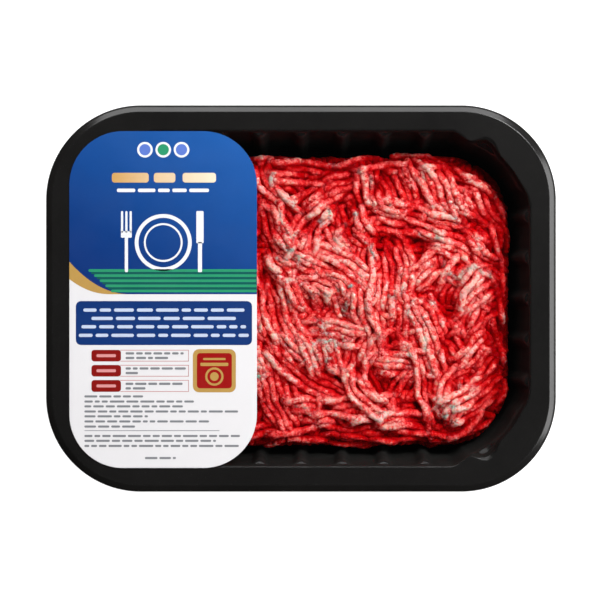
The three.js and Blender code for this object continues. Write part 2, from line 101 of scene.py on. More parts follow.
# Mince
BLOCK = {"half_length": 78.3, "half_width": 54.3, "radius": 24.0, "y": -0.9, "waist": 18.5, "shoulder": 15.0}
BLOCK_TUCK = 4.0
CROWN = {"height": 27.3, "middle_rise": 1.3, "swell": 0.9, "roll": 0.6}
CORE_UNDER_CROWN = 3.4
CORE = {"under": 1.6, "drop": 0.8, "least_radius": 5, "gap": 2.0}
CORE_LEVELS = (4, 7, 10, 13)
CORE_INSETS = (0.4, 1, 2, 3.5, 5.5, 8, 11, 15, 20, 26, 33, 41, 46)
STRAND_RADIUS = 1.34
STRAND_PITCH = 2.5
PLAN_STEP = 0.8
DIVE_LENGTH = 5.5
REST_RADIUS = 1.1
SHOWN_PIECES = 4
EDGE_INSET = -0.5
ROW_STRETCH = 1.45
SIDE_LEVELS = (3.6, 6.4, 9.2, 12.0, 14.8, 17.6)
# How far apart in stations the strands that follow the outline begin
OUTLINE_STEP = 17
# Sides of a strand and the gap between its rings
FINENESS = {"bed": (8, 1.6), "covered": (9, 1.2), "sides": (9, 0.9), "shown": (10, 0.62)}
# Hollows in the top of the block: place, radius and depth
HOLLOWS = (
    (38.7, 31.0, 8.0, 2.3), (18.2, 50.0, 8.0, 2.2), (64.7, 31.0, 8.0, 1.6), (52.0, 23.0, 7.0, 1.6),
    (34.0, -17.0, 6.0, 1.5), (58.0, -42.0, 6.0, 1.8), (-6.0, -8.0, 6.0, 1.2),
)
SEED = 20417

# Rows of strands seen from above: the row's middle, heading and turn in degrees, length and number of strands
ROWS = (
    ((-9, -2), -70, -6, 31, 4), ((-2, 9), -59, -12, 22, 4), ((17, 9), -35, -45, 36, 5),
    ((16, -2), -55, -50, 23, 4), ((25, -6), -78, -10, 19, 3), ((34, 8), -88, 0, 19, 6),
    ((42, -9), -83, 0, 19, 6), ((52, -16), -65, -10, 23, 5), ((66, -4), 50, -10, 19, 5),
    ((66, -24), 40, 30, 16, 5), ((-9, -35), -65, 5, 26, 5), ((6, -29), -33, 35, 26, 5),
    ((15, -42), 0, 8, 28, 3), ((22, -49), 2, 0, 26, 4), ((48, -48), 5, 12, 24, 4),
    ((21, -31), -75, 130, 30, 3), ((37, -23), -10, -30, 15, 4), ((41, -31), 60, 10, 11, 3),
    ((49, -33), -80, 10, 21, 4), ((57, -37), 60, 0, 15, 4), ((65, -38), 30, 20, 15, 4),
    ((50, 48), -20, -40, 28, 3), ((39, 42), -65, 0, 14, 6), ((53, 40), -65, -20, 17, 4),
    ((68, 28), -60, -20, 21, 5), ((43, 29), -15, 0, 23, 4), ((56, 20), -20, 0, 15, 3),
    ((69, 13), -40, 0, 17, 4), ((17, 28), -60, 15, 14, 6), ((3, 27), 65, 0, 17, 4),
    ((-8, 41), -60, 60, 17, 4), ((-9, 27), -65, 0, 15, 3), ((8, 38), 35, -40, 17, 4),
    ((17, 46), 5, -60, 17, 3), ((25, 44), -80, 0, 15, 3), ((-4, 48), -10, 0, 15, 3),
    ((47, 11), 40, -30, 11, 3), ((59, 6), 65, 0, 13, 4), ((11, -13), 0, -10, 15, 3),
    ((8, -22), -75, 0, 11, 5),
)

# Lid film: its corner, its eased edge, and how far it lies over the rim so that the two faces don't coincide
FILM = {"radius": 32.6, "edge": 0.06, "lift": 0.03}

# Label, and the print on it. Bars are left, right, foot and head; lines of words are left, right and height.
LABEL = {"radius": 20.0, "edge": 0.05}
PLATE_GAP = 1.0
PAPER_TOP = LABEL_HIGH[2]
INK_STEP = 0.02
# How far a layer of print reaches down, in steps
INK_DEPTH = 1.5
CIRCLE_STEPS = {"ring": 64, "disc": 48, "curve": 24}
FIELD_FOOT = 1.6
SWEEP = {"rise": 10.4, "reach": -69.0}
STRIPES = {"left": -79.0, "slant": 2.1, "height": 1.0, "margin": 0.02, "feet": (9.9, 8.0, 6.1, 4.2, 2.3)}
MOTIF_MIDDLE = (-51.2, 20.8)
PLATE_RIM = (10.6, 9.2)
PLATE_WELL = (7.2, 6.5)
TITLE_BARS = ((-70.3, -56.6, 43.1, 46.7), (-54.7, -46.7, 43.1, 46.7), (-44.0, -31.6, 43.1, 46.7))
SUBTITLE_LINE = (-68.4, -34.2, 40.2)
DISCS = {"y": 55.3, "radius": 2.9, "core": 2.1}
DISC_ROW = ((-58.0, "sky"), (-51.2, "green"), (-44.4, "sky"))
PANEL = (-83.7, -18.2, -17.3, -0.95)
PANEL_LINES = ((-80.9, -21.0, -4.3), (-77.9, -24.2, -7.4), (-81.6, -20.4, -10.5), (-82.6, -19.4, -13.7))
TAG_SIDES = (-77.9, -66.9)
TAG_WORD = {"left": -76.0, "right": -68.8, "half": 0.55, "heights": (-21.25, -26.85, -32.5)}
TAG_BOX = {"left": -67.2, "right": -41.7, "line": 0.22, "end_line": 0.2}
TAG_ROWS = ((-19.1, -23.4), (-24.7, -29.0), (-30.3, -34.7))
TAG_LINES = (
    (-65.2, -43.6, -20.4), (-65.2, -49.4, -22.1), (-65.2, -42.8, -26.0),
    (-65.2, -60.6, -27.7), (-65.2, -44.0, -31.7), (-65.2, -57.8, -33.4),
)
SEAL = (-40.2, -24.2, -34.9, -18.8)
SEAL_BORDER = 1.5
SEAL_RING = {"above_foot": 5.9, "outer": 3.4, "inner": 2.6, "disc": 1.6}
SEAL_BARS = ((-36.4, -28.0, -22.9, -22.1), (-37.4, -27.0, -25.1, -23.9))
SMALL_LINES = (
    (-80.5, -58.7, -36.4), (-80.5, -39.8, -38.3), (-80.5, -43.9, -40.1), (-80.5, -23.4, -42.0),
    (-80.5, -56.9, -43.8), (-80.5, -34.2, -45.7), (-80.5, -61.7, -47.6), (-80.5, -22.7, -51.1),
    (-80.5, -31.6, -52.9), (-80.5, -23.1, -54.8), (-58.0, -46.5, -59.3),
)
RULE = (-80.5, -30.3, -49.25, -49.0)

# Colours: the mince from deep to pale, a ramp that paints shade low in the pile and light on the strands'
# tops, the fat, and what gloss and light add to a printed colour
MEAT_STOPS = (
    (0.00, (0.34, 0.000, 0.001)),
    (0.20, (0.48, 0.001, 0.003)),
    (0.40, (0.70, 0.017, 0.021)),
    (0.58, (0.90, 0.085, 0.082)),
    (0.78, (1.00, 0.24, 0.21)),
    (1.00, (1.00, 0.50, 0.43)),
)
FAT_COLOUR = (1.0, 0.54, 0.45)
# The first black, on the steep inner walls, is lighter than the one after it on the rim and outside: the
# difference is painted light.
INNER_WALL_PAINTED_LIGHT_BLACK = (0.0175, 0.0175, 0.0165)
WALL_BLACK = (0.0068, 0.0063, 0.006)
FILM_PAINTED_SHEEN_GREY = (0.35, 0.37, 0.38)
FLOOR_GREY = (0.35, 0.35, 0.35)
INK_GLOSS = 0.006
LABEL_LIGHT = 1.25

# Studio: each lamp's name, place and size in metres, and power
LAMPS = (
    ("lamp_far_side", (0.0, 0.85, 0.70), (1.1, 0.5), 10.0),
    ("lamp_right_side", (0.85, 0.0, 0.70), (0.9, 0.5), 11.0),
    ("lamp_key", (0.35, 0.42, 0.80), (0.22, 0.22), 5.8),
)
FLOOR_SIZE = 6
# The floor lies a hair over the tray's underside, so that the two faces don't coincide
FLOOR_HEIGHT = 0.05
CAMERA_ABOVE = 1000.0
CAMERA_SHIFT = (-0.37, -0.56)
FRAME_WIDTH = 223.1
SENSOR_WIDTH = 36


# Small tools for modelling

def deselect_all():
    bpy.ops.object.select_all(action="DESELECT")


def apply_modifier(obj, kind, **settings):
    """Adds a modifier with these settings and applies it."""
    deselect_all()
    obj.select_set(True)
    bpy.context.view_layer.objects.active = obj
    modifier = obj.modifiers.new(kind.lower(), kind)
    for name, value in settings.items():
        setattr(modifier, name, value)
    bpy.ops.object.modifier_apply(modifier=modifier.name)


def settle(obj):
    """Puts the piece's place into its mesh, so that its object lies at the origin."""
    deselect_all()
    obj.select_set(True)
    bpy.context.view_layer.objects.active = obj
    bpy.ops.object.transform_apply(location=True, rotation=True, scale=True)


def dress(obj, material, slot, *nodes):
    """Gives a finished piece its material and its body, and hides the nodes that it stands for."""
    obj.data.materials.clear()
    obj.data.materials.append(material)
    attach(obj, "root")
    if nodes:
        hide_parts(*nodes)
    return obj


def loft(name, rings, smooth_degrees=50):
    """A closed shell: a circle laid on the first ring, extruded ring by ring, with a face across each end."""
    deselect_all()
    bpy.ops.mesh.primitive_circle_add(vertices=len(rings[0]))
    obj = bpy.context.object
    obj.name = obj.data.name = name
    bpy.ops.object.mode_set(mode="EDIT")
    bpy.ops.mesh.select_all(action="SELECT")
    bpy.ops.mesh.edge_face_add()
    shape = bmesh.from_edit_mesh(obj.data)
    station = shape.verts.layers.int.new("station")
    shape.verts.ensure_lookup_table()
    for index, vertex in enumerate(shape.verts):
        vertex[station] = index
        vertex.co = rings[0][index] * MM
    for ring in rings[1:]:
        bpy.ops.mesh.extrude_region_move()
        shape = bmesh.from_edit_mesh(obj.data)
        station = shape.verts.layers.int["station"]
        for vertex in shape.verts:
            if vertex.select:
                vertex.co = ring[vertex[station]] * MM
    bmesh.update_edit_mesh(obj.data)
    bpy.ops.mesh.select_all(action="SELECT")
    bpy.ops.mesh.normals_make_consistent(inside=False)
    bpy.ops.object.mode_set(mode="OBJECT")
    obj.data.attributes.remove(obj.data.attributes["station"])
    bpy.ops.object.shade_smooth_by_angle(angle=math.radians(smooth_degrees))
    return obj


# Rounded rectangles

def stations_round(half_length, half_width, radius, gap):
    """Even stations round a rounded rectangle: facing, turn, share of the side, and way along both sides."""
    found = []
    for facing, straight, next_straight in (
        (0, half_width - radius, half_length - radius),
        (90, half_length - radius, half_width - radius),
        (180, half_width - radius, half_length - radius),
        (270, half_length - radius, half_width - radius),
    ):
        quarter = radius * TURN / 4
        for along in np.arange(-straight, straight, gap):
            found.append((facing, 0.0, along / straight, along, FAR_AWAY))
        for bend in np.arange(0, quarter, gap):
            turn = 90 * bend / quarter
            found.append((facing, turn, 1.0, straight + bend, -(next_straight + quarter - bend)))
    facing, turn, share, along, along_next = np.array(found).T
    short_first = facing % 180 == 0
    corner = np.where(short_first, turn, 90 - turn)
    on_side = turn == 0
    corner = np.where(on_side & (share < 1), np.where(short_first, 0, 90), corner)
    return {"facing": facing, "turn": turn, "share": share, "along": along, "next": along_next,
            "short": short_first, "corner": corner}


def ring_round(stations, half_length, half_width, radius, out, z):
    """The points of a rounded rectangle at these stations, moved out along their normals."""
    facing = np.radians(stations["facing"])
    normal = np.radians(stations["facing"] + stations["turn"])
    reach = np.where(stations["short"], half_length, half_width) - radius
    across = (np.where(stations["short"], half_width, half_length) - radius) * stations["share"]
    x = np.cos(facing) * reach - np.sin(facing) * across + np.cos(normal) * (radius + out)
    y = np.sin(facing) * reach + np.cos(facing) * across + np.sin(normal) * (radius + out)
    return np.stack([x, y, np.broadcast_to(z, x.shape)], axis=1)


def ease(low, high, value):
    """A soft step from 0 to 1 between two values."""
    share = np.clip((value - low) / (high - low), 0, 1)
    return share * share * (3 - 2 * share)


def quarter_arc(steps):
    """Shares of a quarter circle as pairs: how far across and how far down."""
    angles = np.linspace(0, math.pi / 2, steps + 1)
    return [(math.sin(a), 1 - math.cos(a)) for a in angles]


# Tray

def rib_section(along, count):
    """The height of the ribs, from 0 to 1, along a side with so many ribs."""
    nearest = np.round(along / RIB["pitch"])
    away = np.abs(along - nearest * RIB["pitch"]) / RIB["half_width"]
    inside = (away < 1) & (np.abs(nearest) <= (count - 1) / 2)
    return np.where(inside, (1 - np.minimum(away, 1) ** 2) ** 1.4, 0)


def ribs_along(along, short):
    """The ribs at a way along the sides, which are short ones where this says so."""
    return np.where(short, rib_section(along, RIBS_SHORT), rib_section(along, RIBS_LONG))


def rim_wave(corner):
    """How far the mouth's edge swings out at a corner."""
    wave = np.zeros_like(corner)
    for at, spread, out in RIM_WAVES:
        away = np.minimum(np.abs(corner - at) / spread, 1)
        wave += out * (1 - away ** 2) ** 2
    return wave


def pocket_cover(corner):
    """The share of the pocket at each place of a corner."""
    begun = ease(POCKET["from"] - POCKET["rise"], POCKET["from"], corner)
    return begun * (1 - ease(POCKET["to"], POCKET["to"] + POCKET["fall"], corner))


def rib_cap(depth):
    """The share of a rib at a depth: its top is a round cap."""
    share = np.clip((depth - RIB["cap_start"]) / (RIB["cap_end"] - RIB["cap_start"]), 0, 1)
    return math.sqrt(1 - (1 - share) ** 2)


def make_tray(material):
    """The tray as one closed sheet, from its underside over the rim and down to its floor."""
    stations = stations_round(MOUTH["half_length"], MOUTH["half_width"], MOUTH["radius"], STATION_GAP)
    here = ribs_along(stations["along"], stations["short"])
    after = ribs_along(stations["next"], ~stations["short"])
    ribs = np.maximum(here, after)
    cover = pocket_cover(stations["corner"])
    wave = rim_wave(stations["corner"])
    breadth = np.maximum(POCKET["width"] + wave, 0)

    def wall(depth, rib_share, pocket_share, skin=0.0, z=None):
        inset = depth * WALL_SLOPE
        pushed = cover * pocket_share
        out = skin - pushed * POCKET["width"] + (1 - pushed) * wave - ribs * RIB["reach"] * rib_share
        level = RIM_TOP - depth if z is None else z
        size = (MOUTH["half_length"], MOUTH["half_width"], MOUTH["radius"])
        return ring_round(stations, *size, out - inset, level)

    def rim(inset, z):
        size = (TRAY["half_length"] - inset, TRAY["half_width"] - inset, TRAY["radius"] - inset)
        return ring_round(stations, *size, 0.0, z)

    sheet = TRAY["sheet"]
    floor_depth = RIM_TOP - sheet
    foot_depth = floor_depth - FOOT["rise"]
    rings = []
    # Underside, and up the outer wall
    for across, down in reversed(quarter_arc(FOOT["steps"])):
        rib_share = 1 - (1 - FOOT["rib_share"]) * down
        skin = sheet - FOOT["inset"] * down
        rings.append(wall(foot_depth + (RIM_TOP - foot_depth) * across, rib_share, 1, skin))
    _, _, pocket_shares, pocket_depths = zip(*MOUTH_PROFILE)
    for depth in OUTER_DEPTHS:
        pocket_share = np.interp(depth - sheet, pocket_depths, pocket_shares)
        rings.append(wall(depth, rib_cap(depth - sheet), pocket_share, sheet))
    # Out under the flange, round the lip, and over the flat band
    rings.append(wall(sheet, 0, 0, sheet + FLANGE_ROUND, RIM_TOP - sheet))
    rings.append(rim(LIP_PROFILE[-1][0] + FLANGE_INSET, RIM_TOP - sheet))
    rings.append(rim(sheet + FLANGE_ROUND, RIM_TOP - LIP_PROFILE[0][1]))
    rings.append(rim(sheet, RIM_TOP - LIP_DEPTH + FLANGE_ROUND))
    rings.append(rim(sheet * 0.5, RIM_TOP - LIP_DEPTH))
    rings.append(rim(0, RIM_TOP - LIP_DEPTH + FLANGE_ROUND))
    for inset, drop in LIP_PROFILE:
        rings.append(rim(inset, RIM_TOP - drop))
    # The mouth's edge, and down the inner wall
    rings.append(wall(0, 0, 0, MOUTH_EDGE["out"] - MOUTH_EDGE["less_in_pocket"] * cover))
    for plain_out, plain_depth, pocket_share, pocket_depth in MOUTH_PROFILE:
        bevel = breadth * min(pocket_share, POCKET_EDGE["share"]) * POCKET_EDGE["slope"]
        depth = plain_depth + (pocket_depth + bevel - plain_depth) * cover
        rings.append(wall(depth, rib_cap(plain_depth), pocket_share, plain_out * (1 - cover)))
    for depth in INNER_DEPTHS:
        rings.append(wall(depth, 1, 1))
    for across, down in quarter_arc(FOOT["steps"]):
        rib_share = 1 - (1 - FOOT["rib_share"]) * down
        rings.append(wall(foot_depth + FOOT["rise"] * across, rib_share, 1, -FOOT["inset"] * down))
    return dress(loft("tray_shell", rings), material, "tray_plastic", "tray")


# Mince

def block_inset(x, y):
    """How far plan points lie inside the block's outline."""
    over_x = np.abs(x) - (BLOCK["half_length"] - BLOCK["radius"])
    over_y = np.abs(y - BLOCK["y"]) - (BLOCK["half_width"] - BLOCK["radius"])
    outside = np.hypot(np.maximum(over_x, 0), np.maximum(over_y, 0))
    return BLOCK["radius"] - outside - np.minimum(np.maximum(over_x, over_y), 0)


def block_height(x, y, lowered=0.0):
    """The crown of the block, which rounds down to its waist at the outline."""
    inset = np.clip(block_inset(x, y) / BLOCK["shoulder"], 0, 1)
    rounding = np.sqrt(1 - (1 - inset) ** 2)
    swell = CROWN["swell"] * np.sin(x / 13 + 1.2) * np.cos(y / 11 - 0.4)
    roll = CROWN["roll"] * np.sin(x / 23 - y / 17)
    middle = np.cos(x / BLOCK["half_length"] * 1.4) * np.cos(y / BLOCK["half_width"] * 1.4)
    rise = CROWN["height"] - lowered - BLOCK["waist"] + CROWN["middle_rise"] * middle + swell + roll
    for hollow_x, hollow_y, radius, depth in HOLLOWS:
        away = np.minimum(np.hypot(x - hollow_x, y - hollow_y) / radius, 1)
        rise = rise - depth * (1 - away ** 2) ** 2
    return BLOCK["waist"] + rise * rounding


def block_tuck(z):
    """How far the side of the block lies in at a height under its waist."""
    return BLOCK_TUCK * (1 - np.minimum(z / BLOCK["waist"], 1)) ** 1.5


def make_core(material):
    """The inside of the mince, under the strands, where it shows in the gaps as painted deep shade."""
    stations = stations_round(BLOCK["half_length"], BLOCK["half_width"], BLOCK["radius"], CORE["gap"])

    def ring(inset, z=None):
        radius = max(BLOCK["radius"] - inset, CORE["least_radius"])
        size = (BLOCK["half_length"] - inset, BLOCK["half_width"] - inset, radius)
        points = ring_round(stations, *size, 0.0, 0.0 if z is None else z)
        points[:, 1] += BLOCK["y"]
        if z is None:
            points[:, 2] = block_height(points[:, 0], points[:, 1], CORE_UNDER_CROWN + CORE["drop"])
        return points

    rings = [ring(CORE["under"] + block_tuck(z), z) for z in (MINCE_LOW[2], *CORE_LEVELS)]
    rings += [ring(CORE["under"] + inset) for inset in CORE_INSETS]
    return dress(loft("mince_core", rings), material, "mince", "mince")


class Pile:
    """The height of the mince over its plan, on a fine grid, as strands are laid on it."""

    CELL = 0.5
    MARGIN = 6.0

    def __init__(self):
        self.start = np.array([-BLOCK["half_length"], -BLOCK["half_width"]]) - self.MARGIN
        counts = (-2 * self.start / self.CELL).astype(int) + 1
        x = self.start[0] + self.CELL * np.arange(counts[0])
        y = self.start[1] + self.CELL * np.arange(counts[1])
        grid_x, grid_y = np.meshgrid(x, y, indexing="ij")
        self.height = block_height(grid_x, grid_y, CORE_UNDER_CROWN)
        self.height[block_inset(grid_x, grid_y) < 0] = BLOCK["waist"] - 2
        reach = int(REST_RADIUS / self.CELL) + 1
        steps = np.arange(-reach, reach + 1)
        step_x, step_y = (part.ravel() for part in np.meshgrid(steps, steps))
        away = np.hypot(step_x, step_y) * self.CELL
        near = away < REST_RADIUS
        self.step_x, self.step_y = step_x[near], step_y[near]
        self.ball = np.sqrt(REST_RADIUS ** 2 - away[near] ** 2)

    def cells(self, plan):
        """The cells that lie under a strand at each of its plan points."""
        at = np.round((plan - self.start) / self.CELL).astype(int)
        across = np.clip(at[:, :1] + self.step_x, 0, self.height.shape[0] - 1)
        along = np.clip(at[:, 1:] + self.step_y, 0, self.height.shape[1] - 1)
        return across, along

    def lay(self, plan, sink, dives=(0.0, 0.0)):
        """Lays a strand along its plan points, its ends diving into the pile, and gives its centre line."""
        cells = self.cells(plan)
        rest = (self.height[cells] + self.ball).max(axis=1)
        padded = np.pad(rest, 3, mode="edge")
        eased = np.convolve(padded, np.array([1, 2, 3, 4, 3, 2, 1]) / 16, mode="valid")
        z = np.maximum(eased, rest - 0.6) - sink
        along = PLAN_STEP * np.arange(len(z))
        for dive, from_end in zip(dives, (along, along[::-1])):
            z -= dive * (1 - ease(0, DIVE_LENGTH, from_end))
        np.maximum.at(self.height, cells, z[:, None] + self.ball)
        return np.column_stack([plan, z])

    def blurred(self, reach):
        """The mean height round each cell."""
        span = int(reach / self.CELL)
        weights = np.exp(-0.5 * (np.arange(-2 * span, 2 * span + 1) / span) ** 2)
        weights /= weights.sum()
        padded = np.pad(self.height, 2 * span, mode="edge")
        rows = np.apply_along_axis(np.convolve, 0, padded, weights, mode="valid")
        return np.apply_along_axis(np.convolve, 1, rows, weights, mode="valid")

    def sample(self, field, x, y):
        """The field's value at places between its cells."""
        at_x = np.clip((x - self.start[0]) / self.CELL, 0, field.shape[0] - 1.001)
        at_y = np.clip((y - self.start[1]) / self.CELL, 0, field.shape[1] - 1.001)
        i, j = at_x.astype(int), at_y.astype(int)
        u, v = at_x - i, at_y - j
        low = field[i, j] * (1 - u) + field[i + 1, j] * u
        high = field[i, j + 1] * (1 - u) + field[i + 1, j + 1] * u
        return low * (1 - v) + high * v


def strand_plan(middle, heading, turn, length, sideways, wave, random):
    """Plan points of one strand of a row: an even arc with its row's wave and a slight wander of its own."""
    share = np.linspace(-0.5, 0.5, max(int(length / PLAN_STEP), 6))
    bend = math.radians(turn) * share
    chord = share * np.sinc(bend / TURN)
    direction = math.radians(heading) + bend / 2
    across = math.radians(heading) + bend + math.pi / 2
    own = 0.28 * np.sin(share * length / random.uniform(1.3, 2.2) + random.uniform(0, TURN))
    shift = sideways + own + wave[0] * np.sin(share * length / wave[1] + wave[2])
    x = middle[0] + np.cos(direction) * chord * length + np.cos(across) * shift
    y = middle[1] + np.sin(direction) * chord * length + np.sin(across) * shift
    return np.column_stack([x, y])


def lay_row(pile, row, random, sink=0.35, broken=0.06):
    """Lays the strands of one row side by side, and gives their centre lines. Some break in two."""
    middle, heading, turn, length, count = row
    wave = (random.uniform(0.2, 1.1), random.uniform(2.4, 4.0), random.uniform(0, TURN))
    lines = []
    for index in random.permutation(count):
        sideways = (index - (count - 1) / 2) * STRAND_PITCH + random.uniform(-0.3, 0.3)
        slide = random.uniform(-2.5, 2.5)
        angle = math.radians(heading)
        shifted = (middle[0] + math.cos(angle) * slide, middle[1] + math.sin(angle) * slide)
        strand_heading = heading + random.uniform(-4, 4)
        strand_length = length * random.uniform(0.75, 1.15)
        plan = strand_plan(shifted, strand_heading, turn, strand_length, sideways, wave, random)
        plan = plan[block_inset(plan[:, 0], plan[:, 1]) > EDGE_INSET]
        parts = [plan]
        if random.uniform() < broken and len(plan) > 16:
            cut = int(len(plan) * random.uniform(0.3, 0.7))
            parts = [plan[:cut], plan[cut + 1:] + random.uniform(-0.5, 0.5, 2)]
        for part in parts:
            if len(part) > 5:
                dives = random.uniform(0.8, 2.8, 2) * min(1, len(part) * PLAN_STEP / 12)
                lines.append(pile.lay(part, sink + random.uniform(0, 0.2), dives))
    return lines


def random_rows(random, gap, low_x, high_x, length, strands, most_turn):
    """Rows on a jittered grid over the block, each with its own heading."""
    rows = []
    half_width = BLOCK["half_width"] - 3
    for x in np.arange(low_x, high_x + 0.1, gap):
        for y in np.arange(-half_width, half_width + 0.1, gap):
            middle = (x + random.uniform(-3, 3), y + random.uniform(-3, 3))
            turn = random.uniform(-most_turn, most_turn)
            rows.append((middle, random.uniform(0, 360), turn, length * random.uniform(0.7, 1.2), strands))
    return [rows[i] for i in random.permutation(len(rows))]


def gap_scraps(pile, random, tries, depth):
    """Short strands laid where the pile is lower than round about."""
    lines = []
    for _ in range(tries):
        low = pile.blurred(2.5) - pile.height
        x = pile.start[0] + pile.CELL * np.arange(low.shape[0])
        y = pile.start[1] + pile.CELL * np.arange(low.shape[1])
        low[block_inset(*np.meshgrid(x, y, indexing="ij")) < 3] = 0
        chosen = np.argwhere(low > depth)
        if len(chosen) == 0:
            break
        for cell in chosen[random.permutation(len(chosen))[:60]]:
            middle = pile.start + pile.CELL * cell
            row = (middle, random.uniform(0, 360), random.uniform(-60, 60), random.uniform(6, 12), 1)
            lines += lay_row(pile, row, random, sink=1.3, broken=0)
    return lines


def outline_rows(pile, random):
    """Strands that follow the block's outline near its edge."""
    stations = stations_round(BLOCK["half_length"], BLOCK["half_width"], BLOCK["radius"], PLAN_STEP)
    lines = []
    for start in np.arange(0, len(stations["along"]), OUTLINE_STEP):
        count = int(random.uniform(14, 34))
        at = (int(start + random.uniform(0, 8)) + np.arange(count)) % len(stations["along"])
        share = np.linspace(0, 1, count)
        wander = random.uniform(0.3, 1.3) * np.sin(share * random.uniform(2, 7) + random.uniform(0, TURN))
        inset = random.uniform(0.8, 4.5) + wander + random.uniform(-2, 6) * share ** 2
        chosen = {name: values[at] for name, values in stations.items()}
        size = (BLOCK["half_length"], BLOCK["half_width"], BLOCK["radius"])
        plan = ring_round(chosen, *size, -np.maximum(inset, 0.2), 0.0)[:, :2]
        plan[:, 1] += BLOCK["y"]
        lines.append(pile.lay(plan, random.uniform(0.5, 1.2), random.uniform(1.2, 2.6, 2)))
    return lines


def side_lines(random):
    """Strands round the side of the block, from its foot to its shoulder."""
    stations = stations_round(BLOCK["half_length"], BLOCK["half_width"], BLOCK["radius"], 1.0)
    outline = ring_round(stations, BLOCK["half_length"], BLOCK["half_width"], BLOCK["radius"], 0.0, 0.0)
    outline[:, 1] += BLOCK["y"]
    normal = np.radians(stations["facing"] + stations["turn"])
    lines = []
    for level in SIDE_LEVELS:
        for start in np.arange(0, len(outline) - 8, OUTLINE_STEP):
            length = int(random.uniform(12, 24))
            at = (int(start + random.uniform(0, 6)) + np.arange(length)) % len(outline)
            wander = np.sin(np.linspace(0, random.uniform(2, 6), length) + random.uniform(0, TURN))
            z = level + 1.3 * wander + random.uniform(-0.8, 0.8)
            inset = 0.45 + block_tuck(z) + random.uniform(0, 0.6) + np.maximum(z - BLOCK["waist"], 0) * 0.35
            x = outline[at, 0] - np.cos(normal[at]) * inset
            y = outline[at, 1] - np.sin(normal[at]) * inset
            lines.append(np.column_stack([x, y, np.maximum(z, MINCE_LOW[2] + STRAND_RADIUS)]))
    return lines


def strand_rings(length, gap):
    """Where the rings of a strand lie, as shares of its length: close together at its rounded ends."""
    inner = np.linspace(1.3, length - 1.3, max(int((length - 2.6) / gap), 2))
    ends = np.array([0, 0.06, 0.22, 0.5, 0.85])
    return np.concatenate([ends, inner, length - ends[::-1]]) / length


def strand_skin(line, sides, gap, random):
    """The skin of one strand: rings round its centre line, with lumps and rounded ends."""
    way = np.concatenate([[0], np.cumsum(np.linalg.norm(np.diff(line, axis=0), axis=1))])
    shares = strand_rings(way[-1], gap)
    along = shares * way[-1]
    centre = np.column_stack([np.interp(along, way, line[:, axis]) for axis in range(3)])
    tangent = np.gradient(centre, along, axis=0)
    tangent /= np.linalg.norm(tangent, axis=1, keepdims=True)
    up = np.array([0, 0, 1.0]) - tangent * tangent[:, 2:]
    up /= np.linalg.norm(up, axis=1, keepdims=True)
    side = np.cross(tangent, up)
    phase = random.uniform(0, TURN, 7)
    length_a, length_b = random.uniform(0.34, 0.5), random.uniform(0.2, 0.28)
    tapers = random.uniform(1.0, 3.2, 2)
    from_end = np.minimum(along / tapers[0], (way[-1] - along) / tapers[1])
    rounding = np.sqrt(1 - (1 - np.minimum(from_end, 1)) ** 2.2)
    torn = np.convolve(random.normal(0, 1, len(along) + 2), (0.25, 0.5, 0.25), mode="valid")
    lumps = 1 + 0.04 * np.sin(along / length_a + phase[0]) + 0.035 * np.sin(along / length_b + phase[1])
    lumps += 0.05 * np.sin(along / 1.3 + phase[6]) + 0.07 * torn
    radius = STRAND_RADIUS * random.uniform(0.93, 1.12) * rounding * lumps
    angle = np.linspace(0, TURN, sides, endpoint=False)
    uneven = 1 + 0.08 * np.sin(2 * angle[None] + phase[2] + along[:, None] / 1.7)
    uneven += 0.06 * np.sin(3 * angle[None] + phase[3] - along[:, None] / 0.6)
    reach = radius[:, None] * uneven
    ring = np.cos(angle)[None, :, None] * side[:, None] + 0.93 * np.sin(angle)[None, :, None] * up[:, None]
    return centre[:, None] + reach[:, :, None] * ring


def skin_faces(rings, sides):
    """Quads along a strand whose ends close in a point."""
    ring, side = np.meshgrid(np.arange(rings - 1), np.arange(sides), indexing="ij")
    a = ring * sides + side
    b = ring * sides + (side + 1) % sides
    return np.stack([a, a + sides, b + sides, b], axis=-1).reshape(-1, 4)


def mesh_of_strands(name, skins, painted_light_shares, tints, material):
    """One joined mesh of many strands, with its painted light and shade, worked out from its height in the
    pile, and each strand's tint as attributes.
    """
    starts = np.cumsum([0] + [skin.shape[0] * skin.shape[1] for skin in skins])
    points = np.concatenate([skin.reshape(-1, 3) for skin in skins]) * MM
    faces = np.concatenate([skin_faces(*skin.shape[:2]) + start for skin, start in zip(skins, starts)])
    lift = np.concatenate([part.ravel() for part in painted_light_shares])
    tint = np.repeat(tints, np.diff(starts))
    mesh = bpy.data.meshes.new(name)
    mesh.vertices.add(len(points))
    mesh.vertices.foreach_set("co", points.astype(np.float32).ravel())
    mesh.loops.add(faces.size)
    mesh.loops.foreach_set("vertex_index", faces.ravel().astype(np.int32))
    mesh.polygons.add(len(faces))
    mesh.polygons.foreach_set("loop_start", np.arange(0, faces.size, 4, dtype=np.int32))
    for attribute, values in (("lift", lift), ("tint", tint)):
        layer = mesh.attributes.new(attribute, "FLOAT", "POINT")
        layer.data.foreach_set("value", values.astype(np.float32))
    mesh.update(calc_edges=True)
    obj = bpy.data.objects.new(name, mesh)
    bpy.context.scene.collection.objects.link(obj)
    deselect_all()
    obj.select_set(True)
    bpy.context.view_layer.objects.active = obj
    bpy.ops.object.mode_set(mode="EDIT")
    bpy.ops.mesh.select_all(action="SELECT")
    bpy.ops.mesh.remove_doubles(threshold=1e-6)
    bpy.ops.mesh.normals_make_consistent(inside=False)
    bpy.ops.object.mode_set(mode="OBJECT")
    bpy.ops.object.shade_smooth()
    return dress(obj, material, "mince")


